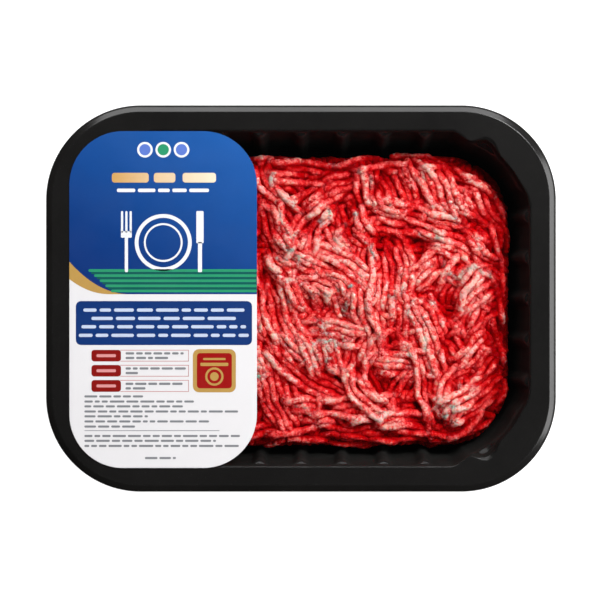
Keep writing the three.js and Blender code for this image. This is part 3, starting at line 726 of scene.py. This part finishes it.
def make_strands(material):
    """Lays the strands layer by layer: a mixed bed, the covered end, the rows that show, and short scraps."""
    random = np.random.default_rng(SEED)
    pile = Pile()
    half = BLOCK["half_length"] - 3
    bed = []
    for row in random_rows(random, 13, -half, half, 20, 5, 50):
        bed += lay_row(pile, row, random, sink=0.5, broken=0)
    shown = []
    for row in random_rows(random, 14, -half, half, 20, 4, 60):
        shown += lay_row(pile, row, random, sink=0.45)
    covered = []
    for row in random_rows(random, 13, -half, -22, 20, 5, 60):
        covered += lay_row(pile, row, random, broken=0)
    for middle, heading, turn, length, count in ROWS:
        shown += lay_row(pile, (middle, heading, turn, length * ROW_STRETCH, count + 1), random)
    shown += outline_rows(pile, random)
    shown += gap_scraps(pile, random, 3, 1.5)
    sides = side_lines(random)
    batches = {
        "mince_bed": (bed, *FINENESS["bed"]),
        "mince_covered": (covered, *FINENESS["covered"]),
        "mince_sides": (sides, *FINENESS["sides"]),
    }
    reach = np.cumsum([len(line) for line in shown])
    for part in range(SHOWN_PIECES):
        chosen = (reach - 1) * SHOWN_PIECES // reach[-1] == part
        lines = [shown[index] for index in np.flatnonzero(chosen)]
        batches[f"mince_strands_{part + 1}"] = (lines, *FINENESS["shown"])
    mean = pile.blurred(2.0)
    crown_top = np.percentile(mean, 75)
    for name, (lines, strand_sides, gap) in batches.items():
        skins = [strand_skin(line, strand_sides, gap, random) for line in lines]
        # The lift paints light and shade into the colour: pale on each strand's crest and where it stands
        # over its neighbours, deep red low in the pile, in crevices and near the outline, where shade falls.
        painted_light_shares = []
        for skin in skins:
            around = pile.sample(mean, skin[..., 0], skin[..., 1])
            centre = skin[..., 2].mean(axis=1, keepdims=True)
            crest = np.maximum(skin[..., 2] - centre, 0) / STRAND_RADIUS
            lift = 0.36 + 0.20 * (centre - around) + 0.5 * crest ** 2
            lift += np.clip((around - crown_top) / 7, -0.3, 0.1)
            lift -= 0.28 * (1 - ease(0, 8, block_inset(skin[..., 0], skin[..., 1])))
            painted_light_shares.append(np.clip(lift, 0, 1))
        mesh_of_strands(name, skins, painted_light_shares, random.uniform(0, 1, len(skins)), material)


# Lid film and label

def plate(name, rings, material, slot, *nodes):
    """A flat piece lofted through a few close rings."""
    return dress(loft(name, rings, smooth_degrees=40), material, slot, *nodes)


def rounded_plate_rings(half_length, half_width, radius, middle, low, high, edge):
    """Rings of a thin rounded rectangle whose upper edge is eased by a small radius."""
    stations = stations_round(half_length, half_width, radius, PLATE_GAP)
    eased = ((edge * 0.3, high - edge * 0.3), (edge, high), (edge * 4, high))
    rings = []
    for inset, z in ((0.0, low), (0.0, high - edge), *eased):
        ring = ring_round(stations, half_length - inset, half_width - inset, radius - inset, 0.0, z)
        rings.append(ring + np.array([middle[0], middle[1], 0.0]))
    return rings


def make_film(material):
    half = (FILM_HIGH - FILM_LOW) / 2
    low = FILM_LOW[2] + FILM["lift"]
    rings = rounded_plate_rings(half[0], half[1], FILM["radius"], (0, 0), low, FILM_HIGH[2], FILM["edge"])
    return plate("lid_film_sheet", rings, material, "clear_film", "lid_film")


def make_paper(material):
    half = (LABEL_HIGH - LABEL_LOW) / 2
    middle = (LABEL_HIGH + LABEL_LOW) / 2
    radius, edge = LABEL["radius"], LABEL["edge"]
    rings = rounded_plate_rings(half[0], half[1], radius, middle, LABEL_LOW[2], PAPER_TOP, edge)
    return plate("label_sheet", rings, material, "label_paper", "label")


def ink_plate(name, outline, layer, material):
    """A printed field with any outline: a very thin plate, partly sunk in the layer under it."""
    low = PAPER_TOP + INK_STEP * (layer - INK_DEPTH)
    high = PAPER_TOP + INK_STEP * layer
    outline = np.asarray(outline, dtype=float)
    rings = [np.column_stack([outline, np.full(len(outline), z)]) for z in (low, high)]
    return plate(name, rings, material, "label_paper")


def thicken_ink(obj):
    """Turns a flat print's faces up and gives it thickness downward."""
    if obj.data.polygons[0].normal.z < 0:
        bpy.ops.object.mode_set(mode="EDIT")
        bpy.ops.mesh.flip_normals()
        bpy.ops.object.mode_set(mode="OBJECT")
    apply_modifier(obj, "SOLIDIFY", thickness=INK_STEP * INK_DEPTH * MM, offset=-1)


def ink_bars(name, bars, layer, material, corner=0.4):
    """Printed bars in one piece: planes sized in edit mode, their corners rounded, then given thickness."""
    deselect_all()
    z = (PAPER_TOP + INK_STEP * layer) * MM
    for index, (x_low, x_high, y_low, y_high) in enumerate(bars):
        middle = ((x_low + x_high) / 2 * MM, (y_low + y_high) / 2 * MM, z)
        bpy.ops.mesh.primitive_plane_add(size=1, location=(0, 0, 0) if index == 0 else middle)
        if index == 0:
            obj = bpy.context.object
            obj.name = obj.data.name = name
            bpy.ops.object.mode_set(mode="EDIT")
            bpy.ops.mesh.select_all(action="SELECT")
            bpy.ops.transform.translate(value=middle)
        size = ((x_high - x_low) * MM, (y_high - y_low) * MM, 1)
        bpy.ops.transform.resize(value=size, center_override=middle)
    bpy.ops.mesh.select_all(action="SELECT")
    smallest = min(min(bar[1] - bar[0], bar[3] - bar[2]) for bar in bars)
    offset = min(corner, smallest * 0.48) * MM
    bpy.ops.mesh.bevel(offset=offset, offset_type="OFFSET", affect="VERTICES", segments=4)
    bpy.ops.mesh.remove_doubles(threshold=1e-7)
    bpy.ops.mesh.normals_make_consistent(inside=False)
    bpy.ops.object.mode_set(mode="OBJECT")
    thicken_ink(obj)
    return dress(obj, material, "label_paper")


def ring_band(name, middle, outer, inner, layer, material):
    """A printed ring: a circle inset and given thickness."""
    deselect_all()
    z = (PAPER_TOP + INK_STEP * layer) * MM
    place = (middle[0] * MM, middle[1] * MM, z)
    sides = CIRCLE_STEPS["ring"]
    bpy.ops.mesh.primitive_circle_add(vertices=sides, radius=outer * MM, fill_type="NGON", location=place)
    obj = bpy.context.object
    obj.name = obj.data.name = name
    bpy.ops.object.mode_set(mode="EDIT")
    bpy.ops.mesh.select_all(action="SELECT")
    bpy.ops.mesh.inset(thickness=(outer - inner) * MM)
    bpy.ops.mesh.delete(type="FACE")
    bpy.ops.mesh.select_all(action="SELECT")
    bpy.ops.mesh.normals_make_consistent(inside=False)
    bpy.ops.object.mode_set(mode="OBJECT")
    thicken_ink(obj)
    settle(obj)
    return dress(obj, material, "label_paper")


def disc_outline(middle, radius):
    angles = np.linspace(0, TURN, CIRCLE_STEPS["disc"], endpoint=False)
    return np.column_stack([middle[0] + radius * np.cos(angles), middle[1] + radius * np.sin(angles)])


def arc_points(middle, radius, start, end):
    angles = np.radians(np.linspace(start, end, CIRCLE_STEPS["curve"]))
    return np.column_stack([middle[0] + radius * np.cos(angles), middle[1] + radius * np.sin(angles)])


def sweep_curve(rise, reach):
    """The curve at the field's lower left, from the label's edge down to the field's foot."""
    share = np.linspace(0, 1, CIRCLE_STEPS["curve"])
    x = LABEL_LOW[0] + (reach - LABEL_LOW[0]) * share
    y = FIELD_FOOT + (rise - FIELD_FOOT) * (1 - share) ** 2.1
    return np.column_stack([x, y])


def upper_field(foot, left_curve):
    """The outline of a field that fills the label's upper end down to its foot."""
    left, right, top = LABEL_LOW[0], LABEL_HIGH[0], LABEL_HIGH[1]
    across = LABEL["radius"]
    right_corner = arc_points((right - across, top - across), across, 0, 90)
    left_corner = arc_points((left + across, top - across), across, 90, 180)
    return np.vstack([right_corner, left_corner, left_curve, [[right, foot]]])


def word_bars(lines, height, random, gap=0.9, shortest=2.2, longest=7.0):
    """Breaks text lines into words: bars of seeded lengths with gaps between them."""
    bars = []
    for x_low, x_high, y in lines:
        x = x_low
        while x < x_high - 0.8:
            end = min(x + random.uniform(shortest, longest), x_high)
            if x_high - end < shortest:
                end = x_high
            bars.append((x, end, y - height / 2, y + height / 2))
            x = end + gap
    return bars


def motif_bars():
    """A plain fork and knife as bars: tines, neck and handle, and a blade and handle."""
    fork = [(-66.9, -66.1, 24.5, 32.5), (-65.3, -64.5, 24.5, 32.5), (-63.7, -62.9, 24.5, 32.5)]
    fork += [(-66.9, -62.9, 22.6, 25.0), (-65.5, -64.3, 9.8, 23.0)]
    knife = [(-38.9, -36.2, 20.5, 32.5), (-38.3, -36.8, 9.8, 21.0)]
    return fork + knife


def make_label_print(inks):
    """Every printed field of the label, from the lowest ink up."""
    random = np.random.default_rng(SEED + 1)
    # The upper field over a gold sweep, and the stripes along its foot
    blue_curve = sweep_curve(SWEEP["rise"] + 3.3, SWEEP["reach"] + 5.5)
    gold_curve = sweep_curve(SWEEP["rise"] - 3.2, SWEEP["reach"] - 2.0)
    ink_plate("print_sweep", np.vstack([blue_curve, gold_curve[::-1]]), 1, inks["gold"])
    ink_plate("print_field", upper_field(FIELD_FOOT, blue_curve), 1.7, inks["blue"])
    right = LABEL_HIGH[0] - STRIPES["margin"]
    stripes = []
    for index, y in enumerate(STRIPES["feet"]):
        stripes.append((STRIPES["left"] + STRIPES["slant"] * index, right, y, y + STRIPES["height"]))
    ink_bars("print_stripes", stripes, 2.6, inks["green"], corner=0.45)
    between = [(low + 1.0, high, foot - 0.85, foot - 0.05) for low, high, foot, _ in stripes[:-1]]
    ink_bars("print_dark_stripes", between, 2.6, inks["pine"], corner=0.35)
    # The motif, the title bars and the three small discs over them
    ring_band("print_plate_rim", MOTIF_MIDDLE, *PLATE_RIM, 2.6, inks["white"])
    ring_band("print_plate_well", MOTIF_MIDDLE, *PLATE_WELL, 2.6, inks["white"])
    ink_bars("print_fork_and_knife", motif_bars(), 2.7, inks["white"], corner=0.55)
    ink_bars("print_title", TITLE_BARS, 2.6, inks["cream"], corner=1.0)
    subtitle = word_bars([SUBTITLE_LINE], 1.3, random, gap=1.0, shortest=3.6, longest=7.5)
    ink_bars("print_subtitle", subtitle, 2.6, inks["white"], corner=0.5)
    for index, (x, core_ink) in enumerate(DISC_ROW):
        outline = disc_outline((x, DISCS["y"]), DISCS["radius"])
        core_outline = disc_outline((x, DISCS["y"]), DISCS["core"])
        ink_plate(f"print_disc_{index + 1}", outline, 2.6, inks["white"])
        ink_plate(f"print_disc_core_{index + 1}", core_outline, 3.5, inks[core_ink])
    # The panel and its lines of words
    ink_bars("print_panel", [PANEL], 1.6, inks["navy"], corner=1.9)
    panel_words = word_bars(PANEL_LINES, 1.2, random, gap=1.1, shortest=3.0, longest=8.5)
    ink_bars("print_panel_words", panel_words, 2.6, inks["pale_blue"], corner=0.6)
    # The three tags, each with an outlined box of two lines
    tags = [(*TAG_SIDES, foot, head) for head, foot in TAG_ROWS]
    ink_bars("print_tags", tags, 1.6, inks["red"], corner=1.1)
    half = TAG_WORD["half"]
    words = [(TAG_WORD["left"], TAG_WORD["right"], y - half, y + half) for y in TAG_WORD["heights"]]
    ink_bars("print_tag_words", words, 2.6, inks["blush"])
    left, right, line = TAG_BOX["left"], TAG_BOX["right"], TAG_BOX["line"]
    edges = []
    for head, foot in TAG_ROWS:
        edges += [(left, right, head - line, head), (left, right, foot, foot + line)]
        edges += [(right - TAG_BOX["end_line"], right, foot, head)]
    ink_bars("print_tag_boxes", edges, 1.4, inks["rust"], corner=0.08)
    tag_words = word_bars(TAG_LINES, 0.85, random, gap=0.7, shortest=1.8, longest=4.4)
    ink_bars("print_tag_lines", tag_words, 1.4, inks["grey_ink"], corner=0.35)
    # The seal: a gold frame, a red field and a plain ring with a disc
    ink_bars("print_seal_frame", [SEAL], 1.4, inks["gold"], corner=2.3)
    in_frame = SEAL_BORDER
    field = (SEAL[0] + in_frame, SEAL[1] - in_frame, SEAL[2] + in_frame, SEAL[3] - in_frame)
    ink_bars("print_seal_field", [field], 2.4, inks["seal_red"], corner=1.2)
    seal_middle = ((SEAL[0] + SEAL[1]) / 2, SEAL[2] + SEAL_RING["above_foot"])
    ring_band("print_seal_ring", seal_middle, SEAL_RING["outer"], SEAL_RING["inner"], 3.3, inks["gold"])
    ink_plate("print_seal_disc", disc_outline(seal_middle, SEAL_RING["disc"]), 3.3, inks["gold"])
    ink_bars("print_seal_words", SEAL_BARS, 3.3, inks["gold"], corner=0.35)
    # The small print and its rule
    small_words = word_bars(SMALL_LINES, 0.8, random, gap=0.7, shortest=1.6, longest=5.5)
    ink_bars("print_small_lines", small_words, 1.4, inks["grey_ink"], corner=0.35)
    ink_bars("print_rule", [RULE], 1.4, inks["grey_ink"], corner=0.1)


# Shader tools

class Graph:
    """A node tree with short ways to add nodes and link them."""

    def __init__(self, tree):
        self.tree = tree

    def add(self, kind, **settings):
        node = self.tree.nodes.new("ShaderNode" + kind)
        for name, value in settings.items():
            setattr(node, name, value)
        return node

    def feed(self, node, **inputs):
        """Sets or links sockets by name: an underscore stands for a space."""
        for name, value in inputs.items():
            self.plug(node.inputs[name.replace("_", " ")], value)
        return node

    def plug(self, socket, value):
        if isinstance(value, bpy.types.NodeSocket):
            self.tree.links.new(value, socket)
        else:
            socket.default_value = value

    def maths(self, operation, *values):
        node = self.add("Math", operation=operation)
        for index, value in enumerate(values):
            self.plug(node.inputs[index], value)
        return node.outputs[0]

    def noise(self, scale, detail, roughness=0.55, distortion=0.0):
        node = self.add("TexNoise")
        place = self.add("TexCoord").outputs["Object"]
        self.feed(node, Vector=place, Scale=scale, Detail=detail, Roughness=roughness, Distortion=distortion)
        return node.outputs["Fac"]

    def spread(self, value, low, high, out_low=0.0, out_high=1.0):
        node = self.add("MapRange", clamp=True)
        self.feed(node, Value=value, From_Min=low, From_Max=high, To_Min=out_low, To_Max=out_high)
        return node.outputs["Result"]

    def ramp(self, factor, stops):
        node = self.add("ValToRGB")
        elements = node.color_ramp.elements
        elements[0].position, elements[0].color = stops[0][0], (*stops[0][1], 1)
        elements[1].position, elements[1].color = stops[-1][0], (*stops[-1][1], 1)
        for position, colour in stops[1:-1]:
            elements.new(position).color = (*colour, 1)
        self.plug(node.inputs["Fac"], factor)
        return node.outputs["Color"]

    def mix(self, factor, first, second):
        node = self.add("Mix", data_type="RGBA")
        for index, value in ((0, factor), (6, first), (7, second)):
            self.plug(node.inputs[index], value)
        return node.outputs[2]

    def bump(self, height, strength, distance):
        node = self.add("Bump")
        self.feed(node, Height=height, Strength=strength, Distance=distance)
        return node.outputs["Normal"]

    def group(self, tree, **inputs):
        node = self.add("Group")
        node.node_tree = tree
        return self.feed(node, **inputs)


def new_group(name, inputs, outputs):
    """An empty shader group with named inputs and outputs, ready to be filled."""
    tree = bpy.data.node_groups.new(name, "ShaderNodeTree")
    for label, kind, default in inputs:
        socket = tree.interface.new_socket(name=label, in_out="INPUT", socket_type=kind)
        socket.default_value = default
    for label, kind in outputs:
        tree.interface.new_socket(name=label, in_out="OUTPUT", socket_type=kind)
    given = tree.nodes.new("NodeGroupInput").outputs
    made = tree.nodes.new("NodeGroupOutput").inputs
    return tree, Graph(tree), given, made


def make_mottled_tone():
    """Group: a colour that drifts lighter and darker in soft patches and fine grain."""
    inputs = (("Color", "NodeSocketColor", (0.5, 0.5, 0.5, 1)), ("Spread", "NodeSocketFloat", 0.1),
              ("Grain", "NodeSocketFloat", 200.0))
    tree, g, given, made = new_group("mottled_tone", inputs, (("Color", "NodeSocketColor"),))
    soft = g.noise(g.maths("MULTIPLY", given["Grain"], 0.12), 2)
    fine = g.noise(given["Grain"], 4, 0.65)
    both = g.maths("ADD", g.maths("MULTIPLY", soft, 0.6), g.maths("MULTIPLY", fine, 0.4))
    shift = g.maths("MULTIPLY", g.spread(both, 0.3, 0.7, -1, 1), given["Spread"])
    lighter = g.maths("ADD", shift, 1.0)
    scaled = g.add("VectorMath", operation="SCALE")
    g.plug(scaled.inputs[0], given["Color"])
    g.plug(scaled.inputs["Scale"], lighter)
    g.plug(made["Color"], scaled.outputs[0])
    return tree


def make_worn_finish():
    """Group: roughness that varies in patches and fine rubs, with a low relief."""
    inputs = (("Grain", "NodeSocketFloat", 200.0), ("Low Roughness", "NodeSocketFloat", 0.3),
              ("High Roughness", "NodeSocketFloat", 0.5), ("Relief", "NodeSocketFloat", 0.1))
    outputs = (("Roughness", "NodeSocketFloat"), ("Normal", "NodeSocketVector"))
    tree, g, given, made = new_group("worn_finish", inputs, outputs)
    patches = g.noise(g.maths("MULTIPLY", given["Grain"], 0.08), 3, 0.6)
    fine = g.noise(given["Grain"], 5, 0.6)
    both = g.maths("ADD", g.maths("MULTIPLY", patches, 0.7), g.maths("MULTIPLY", fine, 0.3))
    share = g.spread(both, 0.35, 0.65)
    span = g.maths("SUBTRACT", given["High Roughness"], given["Low Roughness"])
    g.plug(made["Roughness"], g.maths("MULTIPLY_ADD", share, span, given["Low Roughness"]))
    g.plug(made["Normal"], g.bump(fine, given["Relief"], 0.0002))
    return tree


def make_mince_flesh():
    """Group: minced beef with flecks of fat. Its colour paints shade, deep red low in the pile, and light,
    paler on the strands' tops; the fat shows only where light is painted.
    """
    inputs = (("Lift", "NodeSocketFloat", 0.5), ("Tint", "NodeSocketFloat", 0.5))
    outputs = (("Color", "NodeSocketColor"), ("Roughness", "NodeSocketFloat"), ("Normal", "NodeSocketVector"),
               ("Wetness", "NodeSocketFloat"))
    tree, g, given, made = new_group("mince_flesh", inputs, outputs)
    broad = g.noise(70, 2, 0.5)
    clumps = g.noise(330, 3, 0.6, distortion=0.6)
    grains = g.noise(1500, 3, 0.6)
    granules = g.add("TexVoronoi", feature="SMOOTH_F1")
    g.feed(granules, Vector=g.add("TexCoord").outputs["Object"], Scale=820, Smoothness=0.3, Randomness=1)
    granule = g.add("SeparateColor")
    g.plug(granule.inputs[0], granules.outputs["Color"])
    parts = ((broad, 0.8), (clumps, 1.1), (grains, 1.0), (granule.outputs[0], 0.6), (given["Tint"], 0.3))
    level = 0.85
    for part, share in parts:
        level = g.maths("MULTIPLY_ADD", g.maths("SUBTRACT", part, 0.5), share, level)
    # Scaling by the lift paints shade and light: a low lift gives deep red, a high one pale pink.
    level = g.maths("MULTIPLY_ADD", level, given["Lift"], 0.10)
    flesh = g.ramp(level, MEAT_STOPS)
    flecks = g.noise(520, 3, 0.7, distortion=1.2)
    fat = g.maths("MULTIPLY", g.spread(flecks, 0.58, 0.66), g.spread(given["Tint"], 0.3, 0.95, 0.25, 0.6))
    # The fat is kept out of the painted shade.
    fat = g.maths("MULTIPLY", fat, g.spread(given["Lift"], 0.35, 0.7))
    g.plug(made["Color"], g.mix(fat, flesh, (*FAT_COLOUR, 1)))
    g.plug(made["Roughness"], g.spread(grains, 0.3, 0.7, 0.18, 0.5))
    rounded = g.maths("SUBTRACT", 0.6, granules.outputs["Distance"])
    relief = g.maths("MULTIPLY_ADD", grains, 0.35, g.maths("MULTIPLY", rounded, 1.0))
    g.plug(made["Normal"], g.bump(relief, 0.7, 0.0007))
    g.plug(made["Wetness"], g.spread(grains, 0.42, 0.6, 0.15, 1.0))
    return tree


# Materials

def linear(*levels):
    """A screen colour, 0 to 255, as the shader's own linear colour."""
    shares = [level / 255 for level in levels]
    return tuple(s / 12.92 if s <= 0.04045 else ((s + 0.055) / 1.055) ** 2.4 for s in shares)


def new_material(name, **shader_values):
    material = bpy.data.materials.new(name)
    material.use_nodes = True
    shader = material.node_tree.nodes["Principled BSDF"]
    for socket, value in shader_values.items():
        shader.inputs[socket.replace("_", " ")].default_value = value
    return material, Graph(material.node_tree), shader.inputs


def link_finish(g, shader, tone, finish):
    """Links a tone and a finish to the shader."""
    g.plug(shader["Base Color"], tone.outputs["Color"])
    g.plug(shader["Roughness"], finish.outputs["Roughness"])
    g.plug(shader["Normal"], finish.outputs["Normal"])


def surface(name, groups, colour, spread, grain, low, high, relief, **shader_values):
    """A material of one mottled colour with a worn finish."""
    material, g, shader = new_material(name, **shader_values)
    tone = g.group(groups["tone"], Color=(*colour, 1), Spread=spread, Grain=grain)
    finish = g.group(groups["finish"], Grain=grain, Low_Roughness=low, High_Roughness=high, Relief=relief)
    link_finish(g, shader, tone, finish)
    return material


def make_plastic(groups):
    """Black moulded sheet: a satin skin on the rim and the outside, and a dull one on the steep inside, whose
    lighter black is painted light.
    """
    material, g, shader = new_material("tray_plastic", Specular_IOR_Level=0.0, Coat_Roughness=0.2)
    facing = g.add("SeparateXYZ")
    normal = g.add("NewGeometry").outputs["Normal"]
    g.plug(facing.inputs[0], normal)
    steep = g.spread(facing.outputs["Z"], 0.45, 0.8, 1.0, 0.0)
    outward = g.add("VectorMath", operation="DOT_PRODUCT")
    g.plug(outward.inputs[0], normal)
    g.plug(outward.inputs[1], g.add("TexCoord").outputs["Object"])
    inside = g.maths("MULTIPLY", steep, g.spread(outward.outputs["Value"], -2 * MM, 4 * MM, 1.0, 0.0))
    tone = g.group(groups["tone"], Spread=0.35, Grain=240)
    # The steep inside gets the lighter black: painted light on the inner walls.
    g.plug(tone.inputs["Color"], g.mix(inside, (*WALL_BLACK, 1), (*INNER_WALL_PAINTED_LIGHT_BLACK, 1)))
    finish = g.group(groups["finish"], Grain=240, Low_Roughness=0.3, High_Roughness=0.5, Relief=0.05)
    link_finish(g, shader, tone, finish)
    worn = g.spread(finish.outputs["Roughness"], 0.3, 0.5, 0.76, 0.66)
    g.plug(shader["Coat Weight"], g.maths("MULTIPLY", worn, g.spread(inside, 0.0, 1.0, 1.0, 0.06)))
    return material


def make_meat_material(name, groups, painted_light_scale):
    """Moist mince that light sinks into, its colour painted with light and shade by its lift. The scale of
    its lift is 0 for the inside, which is painted all in deep shade.
    """
    material, g, shader = new_material(
        name, Coat_Roughness=0.1, Specular_IOR_Level=0.0,
        Subsurface_Weight=0.9, Subsurface_Radius=(1.0, 0.1, 0.07), Subsurface_Scale=0.002,
    )
    lift = g.add("Attribute", attribute_name="lift").outputs["Fac"]
    tint = g.add("Attribute", attribute_name="tint").outputs["Fac"]
    flesh = g.group(groups["flesh"], Lift=g.maths("MULTIPLY", lift, painted_light_scale), Tint=tint)
    g.plug(shader["Base Color"], flesh.outputs["Color"])
    g.plug(shader["Roughness"], flesh.outputs["Roughness"])
    g.plug(shader["Normal"], flesh.outputs["Normal"])
    g.plug(shader["Coat Weight"], g.maths("MULTIPLY", g.spread(lift, 0.4, 0.8), flesh.outputs["Wetness"]))
    return material


def make_film_material(groups):
    """Clear film: almost unseen from straight above; at low angles its grey base colour shows as a painted
    sheen.
    """
    material, g, shader = new_material("clear_film", IOR=1.45)
    finish = g.group(groups["finish"], Grain=60, Low_Roughness=0.05, High_Roughness=0.14, Relief=0.15)
    facing = g.add("Fresnel")
    g.feed(facing, IOR=1.45)
    g.plug(shader["Alpha"], g.spread(facing.outputs["Fac"], 0.04, 0.9, 0.0006, 0.57))
    # The film's grey is painted sheen: it shows only where the alpha grows at low angles.
    tone = g.group(groups["tone"], Color=(*FILM_PAINTED_SHEEN_GREY, 1), Spread=0.1, Grain=60)
    link_finish(g, shader, tone, finish)
    return material


def make_gradient_ink(name, groups, stops, direction, low, high):
    """An ink whose colour runs across the label in a direction of its plan."""
    material, g, shader = new_material(name, Specular_IOR_Level=0.2)
    place = g.add("SeparateXYZ")
    g.plug(place.inputs[0], g.add("TexCoord").outputs["Object"])
    across = g.maths("MULTIPLY", place.outputs["X"], direction[0])
    along = g.maths("MULTIPLY_ADD", place.outputs["Y"], direction[1], across)
    shade = g.ramp(g.spread(along, low * MM, high * MM), stops)
    tone = g.group(groups["tone"], Spread=0.04, Grain=900)
    g.plug(tone.inputs["Color"], shade)
    finish = g.group(groups["finish"], Grain=900, Low_Roughness=0.32, High_Roughness=0.46, Relief=0.06)
    link_finish(g, shader, tone, finish)
    return material


def ink(*levels):
    """A printed colour: the shader's colour for a screen colour, less the gloss that the light adds to it."""
    return tuple(max(share - INK_GLOSS, 0.001) / LABEL_LIGHT for share in linear(*levels))


def make_inks(groups):
    """The label's inks: two that run from tone to tone, and the plain ones."""
    plain = {
        "white": ink(232, 234, 238), "green": ink(44, 146, 104), "pine": ink(14, 88, 80),
        "sky": ink(92, 120, 200), "navy": ink(18, 52, 112), "pale_blue": ink(192, 204, 228),
        "red": ink(132, 22, 18), "seal_red": ink(152, 20, 18), "blush": ink(218, 146, 146),
        "rust": ink(190, 120, 115), "gold": ink(184, 146, 79), "grey_ink": ink(128, 130, 134),
    }
    inks = {name: surface("ink_" + name, groups, colour, 0.05, 900, 0.36, 0.5, 0.06, Specular_IOR_Level=0.2)
            for name, colour in plain.items()}
    blue_stops = (
        (0.0, ink(15, 50, 113)), (0.25, ink(20, 58, 123)), (0.88, ink(32, 85, 157)), (1.0, ink(36, 91, 165)),
    )
    inks["blue"] = make_gradient_ink("ink_blue", groups, blue_stops, (0.45, 0.89), -30, 45)
    cream_stops = ((0.0, ink(205, 158, 92)), (1.0, ink(238, 224, 198)))
    inks["cream"] = make_gradient_ink("ink_cream", groups, cream_stops, (1.0, 0.0), -70, -31)
    return inks


# Studio

def make_studio(groups):
    """The pale floor, the soft light of the room, the lamps at the far and the right side, and the camera."""
    deselect_all()
    bpy.ops.mesh.primitive_plane_add(size=FLOOR_SIZE, location=(0, 0, FLOOR_HEIGHT * MM))
    floor = bpy.context.object
    floor.name = "studio_floor"
    floor_look = surface("floor_paper", groups, FLOOR_GREY, 0.01, 20, 0.7, 0.8, 0.02, Emission_Strength=1.0)
    floor_graph = Graph(floor_look.node_tree)
    seen = floor_graph.add("LightPath").outputs["Is Camera Ray"]
    floor_graph.plug(floor_look.node_tree.nodes["Principled BSDF"].inputs["Emission Color"], seen)
    floor.data.materials.append(floor_look)
    world = bpy.data.worlds.new("studio_air")
    bpy.context.scene.world = world
    world.use_nodes = True
    background = world.node_tree.nodes["Background"]
    air = Graph(world.node_tree)
    toward = air.add("VectorMath", operation="DOT_PRODUCT")
    air.plug(toward.inputs[0], air.add("TexCoord").outputs["Generated"])
    toward.inputs[1].default_value = (0.45, 0.55, 0.70)
    air.plug(background.inputs["Color"], (1, 0.995, 0.99, 1))
    air.plug(background.inputs["Strength"], air.spread(toward.outputs["Value"], -0.5, 1.0, 0.0, 0.2))
    for name, place, size, energy in LAMPS:
        bpy.ops.object.light_add(type="AREA", location=place)
        lamp = bpy.context.object
        lamp.name = name
        lamp.data.shape = "RECTANGLE"
        lamp.data.size, lamp.data.size_y = size
        lamp.data.energy = energy
        lamp.rotation_euler = lamp.location.to_track_quat("Z", "Y").to_euler()
    above = RIM_TOP + CAMERA_ABOVE
    place = (CAMERA_SHIFT[0] * MM, CAMERA_SHIFT[1] * MM, above * MM)
    bpy.ops.object.camera_add(location=place, rotation=(0, 0, 0))
    camera = bpy.context.object
    camera.data.sensor_width = SENSOR_WIDTH
    camera.data.lens = SENSOR_WIDTH * CAMERA_ABOVE / FRAME_WIDTH
    bpy.context.scene.camera = camera
    bpy.context.scene.view_settings.view_transform = "Standard"


def build():
    groups = {"tone": make_mottled_tone(), "finish": make_worn_finish(), "flesh": make_mince_flesh()}
    plastic = make_plastic(groups)
    paper = surface("label_paper", groups, ink(227, 225, 227), 0.012, 500, 0.4, 0.55, 0.08)
    meat = make_meat_material("mince_meat", groups, 1.0)
    # The inside of the mince is painted in deep shade.
    inside = make_meat_material("mince_inside_painted_shade", groups, 0.0)
    make_tray(plastic)
    make_film(make_film_material(groups))
    make_paper(paper)
    make_label_print(make_inks(groups))
    make_core(inside)
    make_strands(meat)
    make_studio(groups)


build()
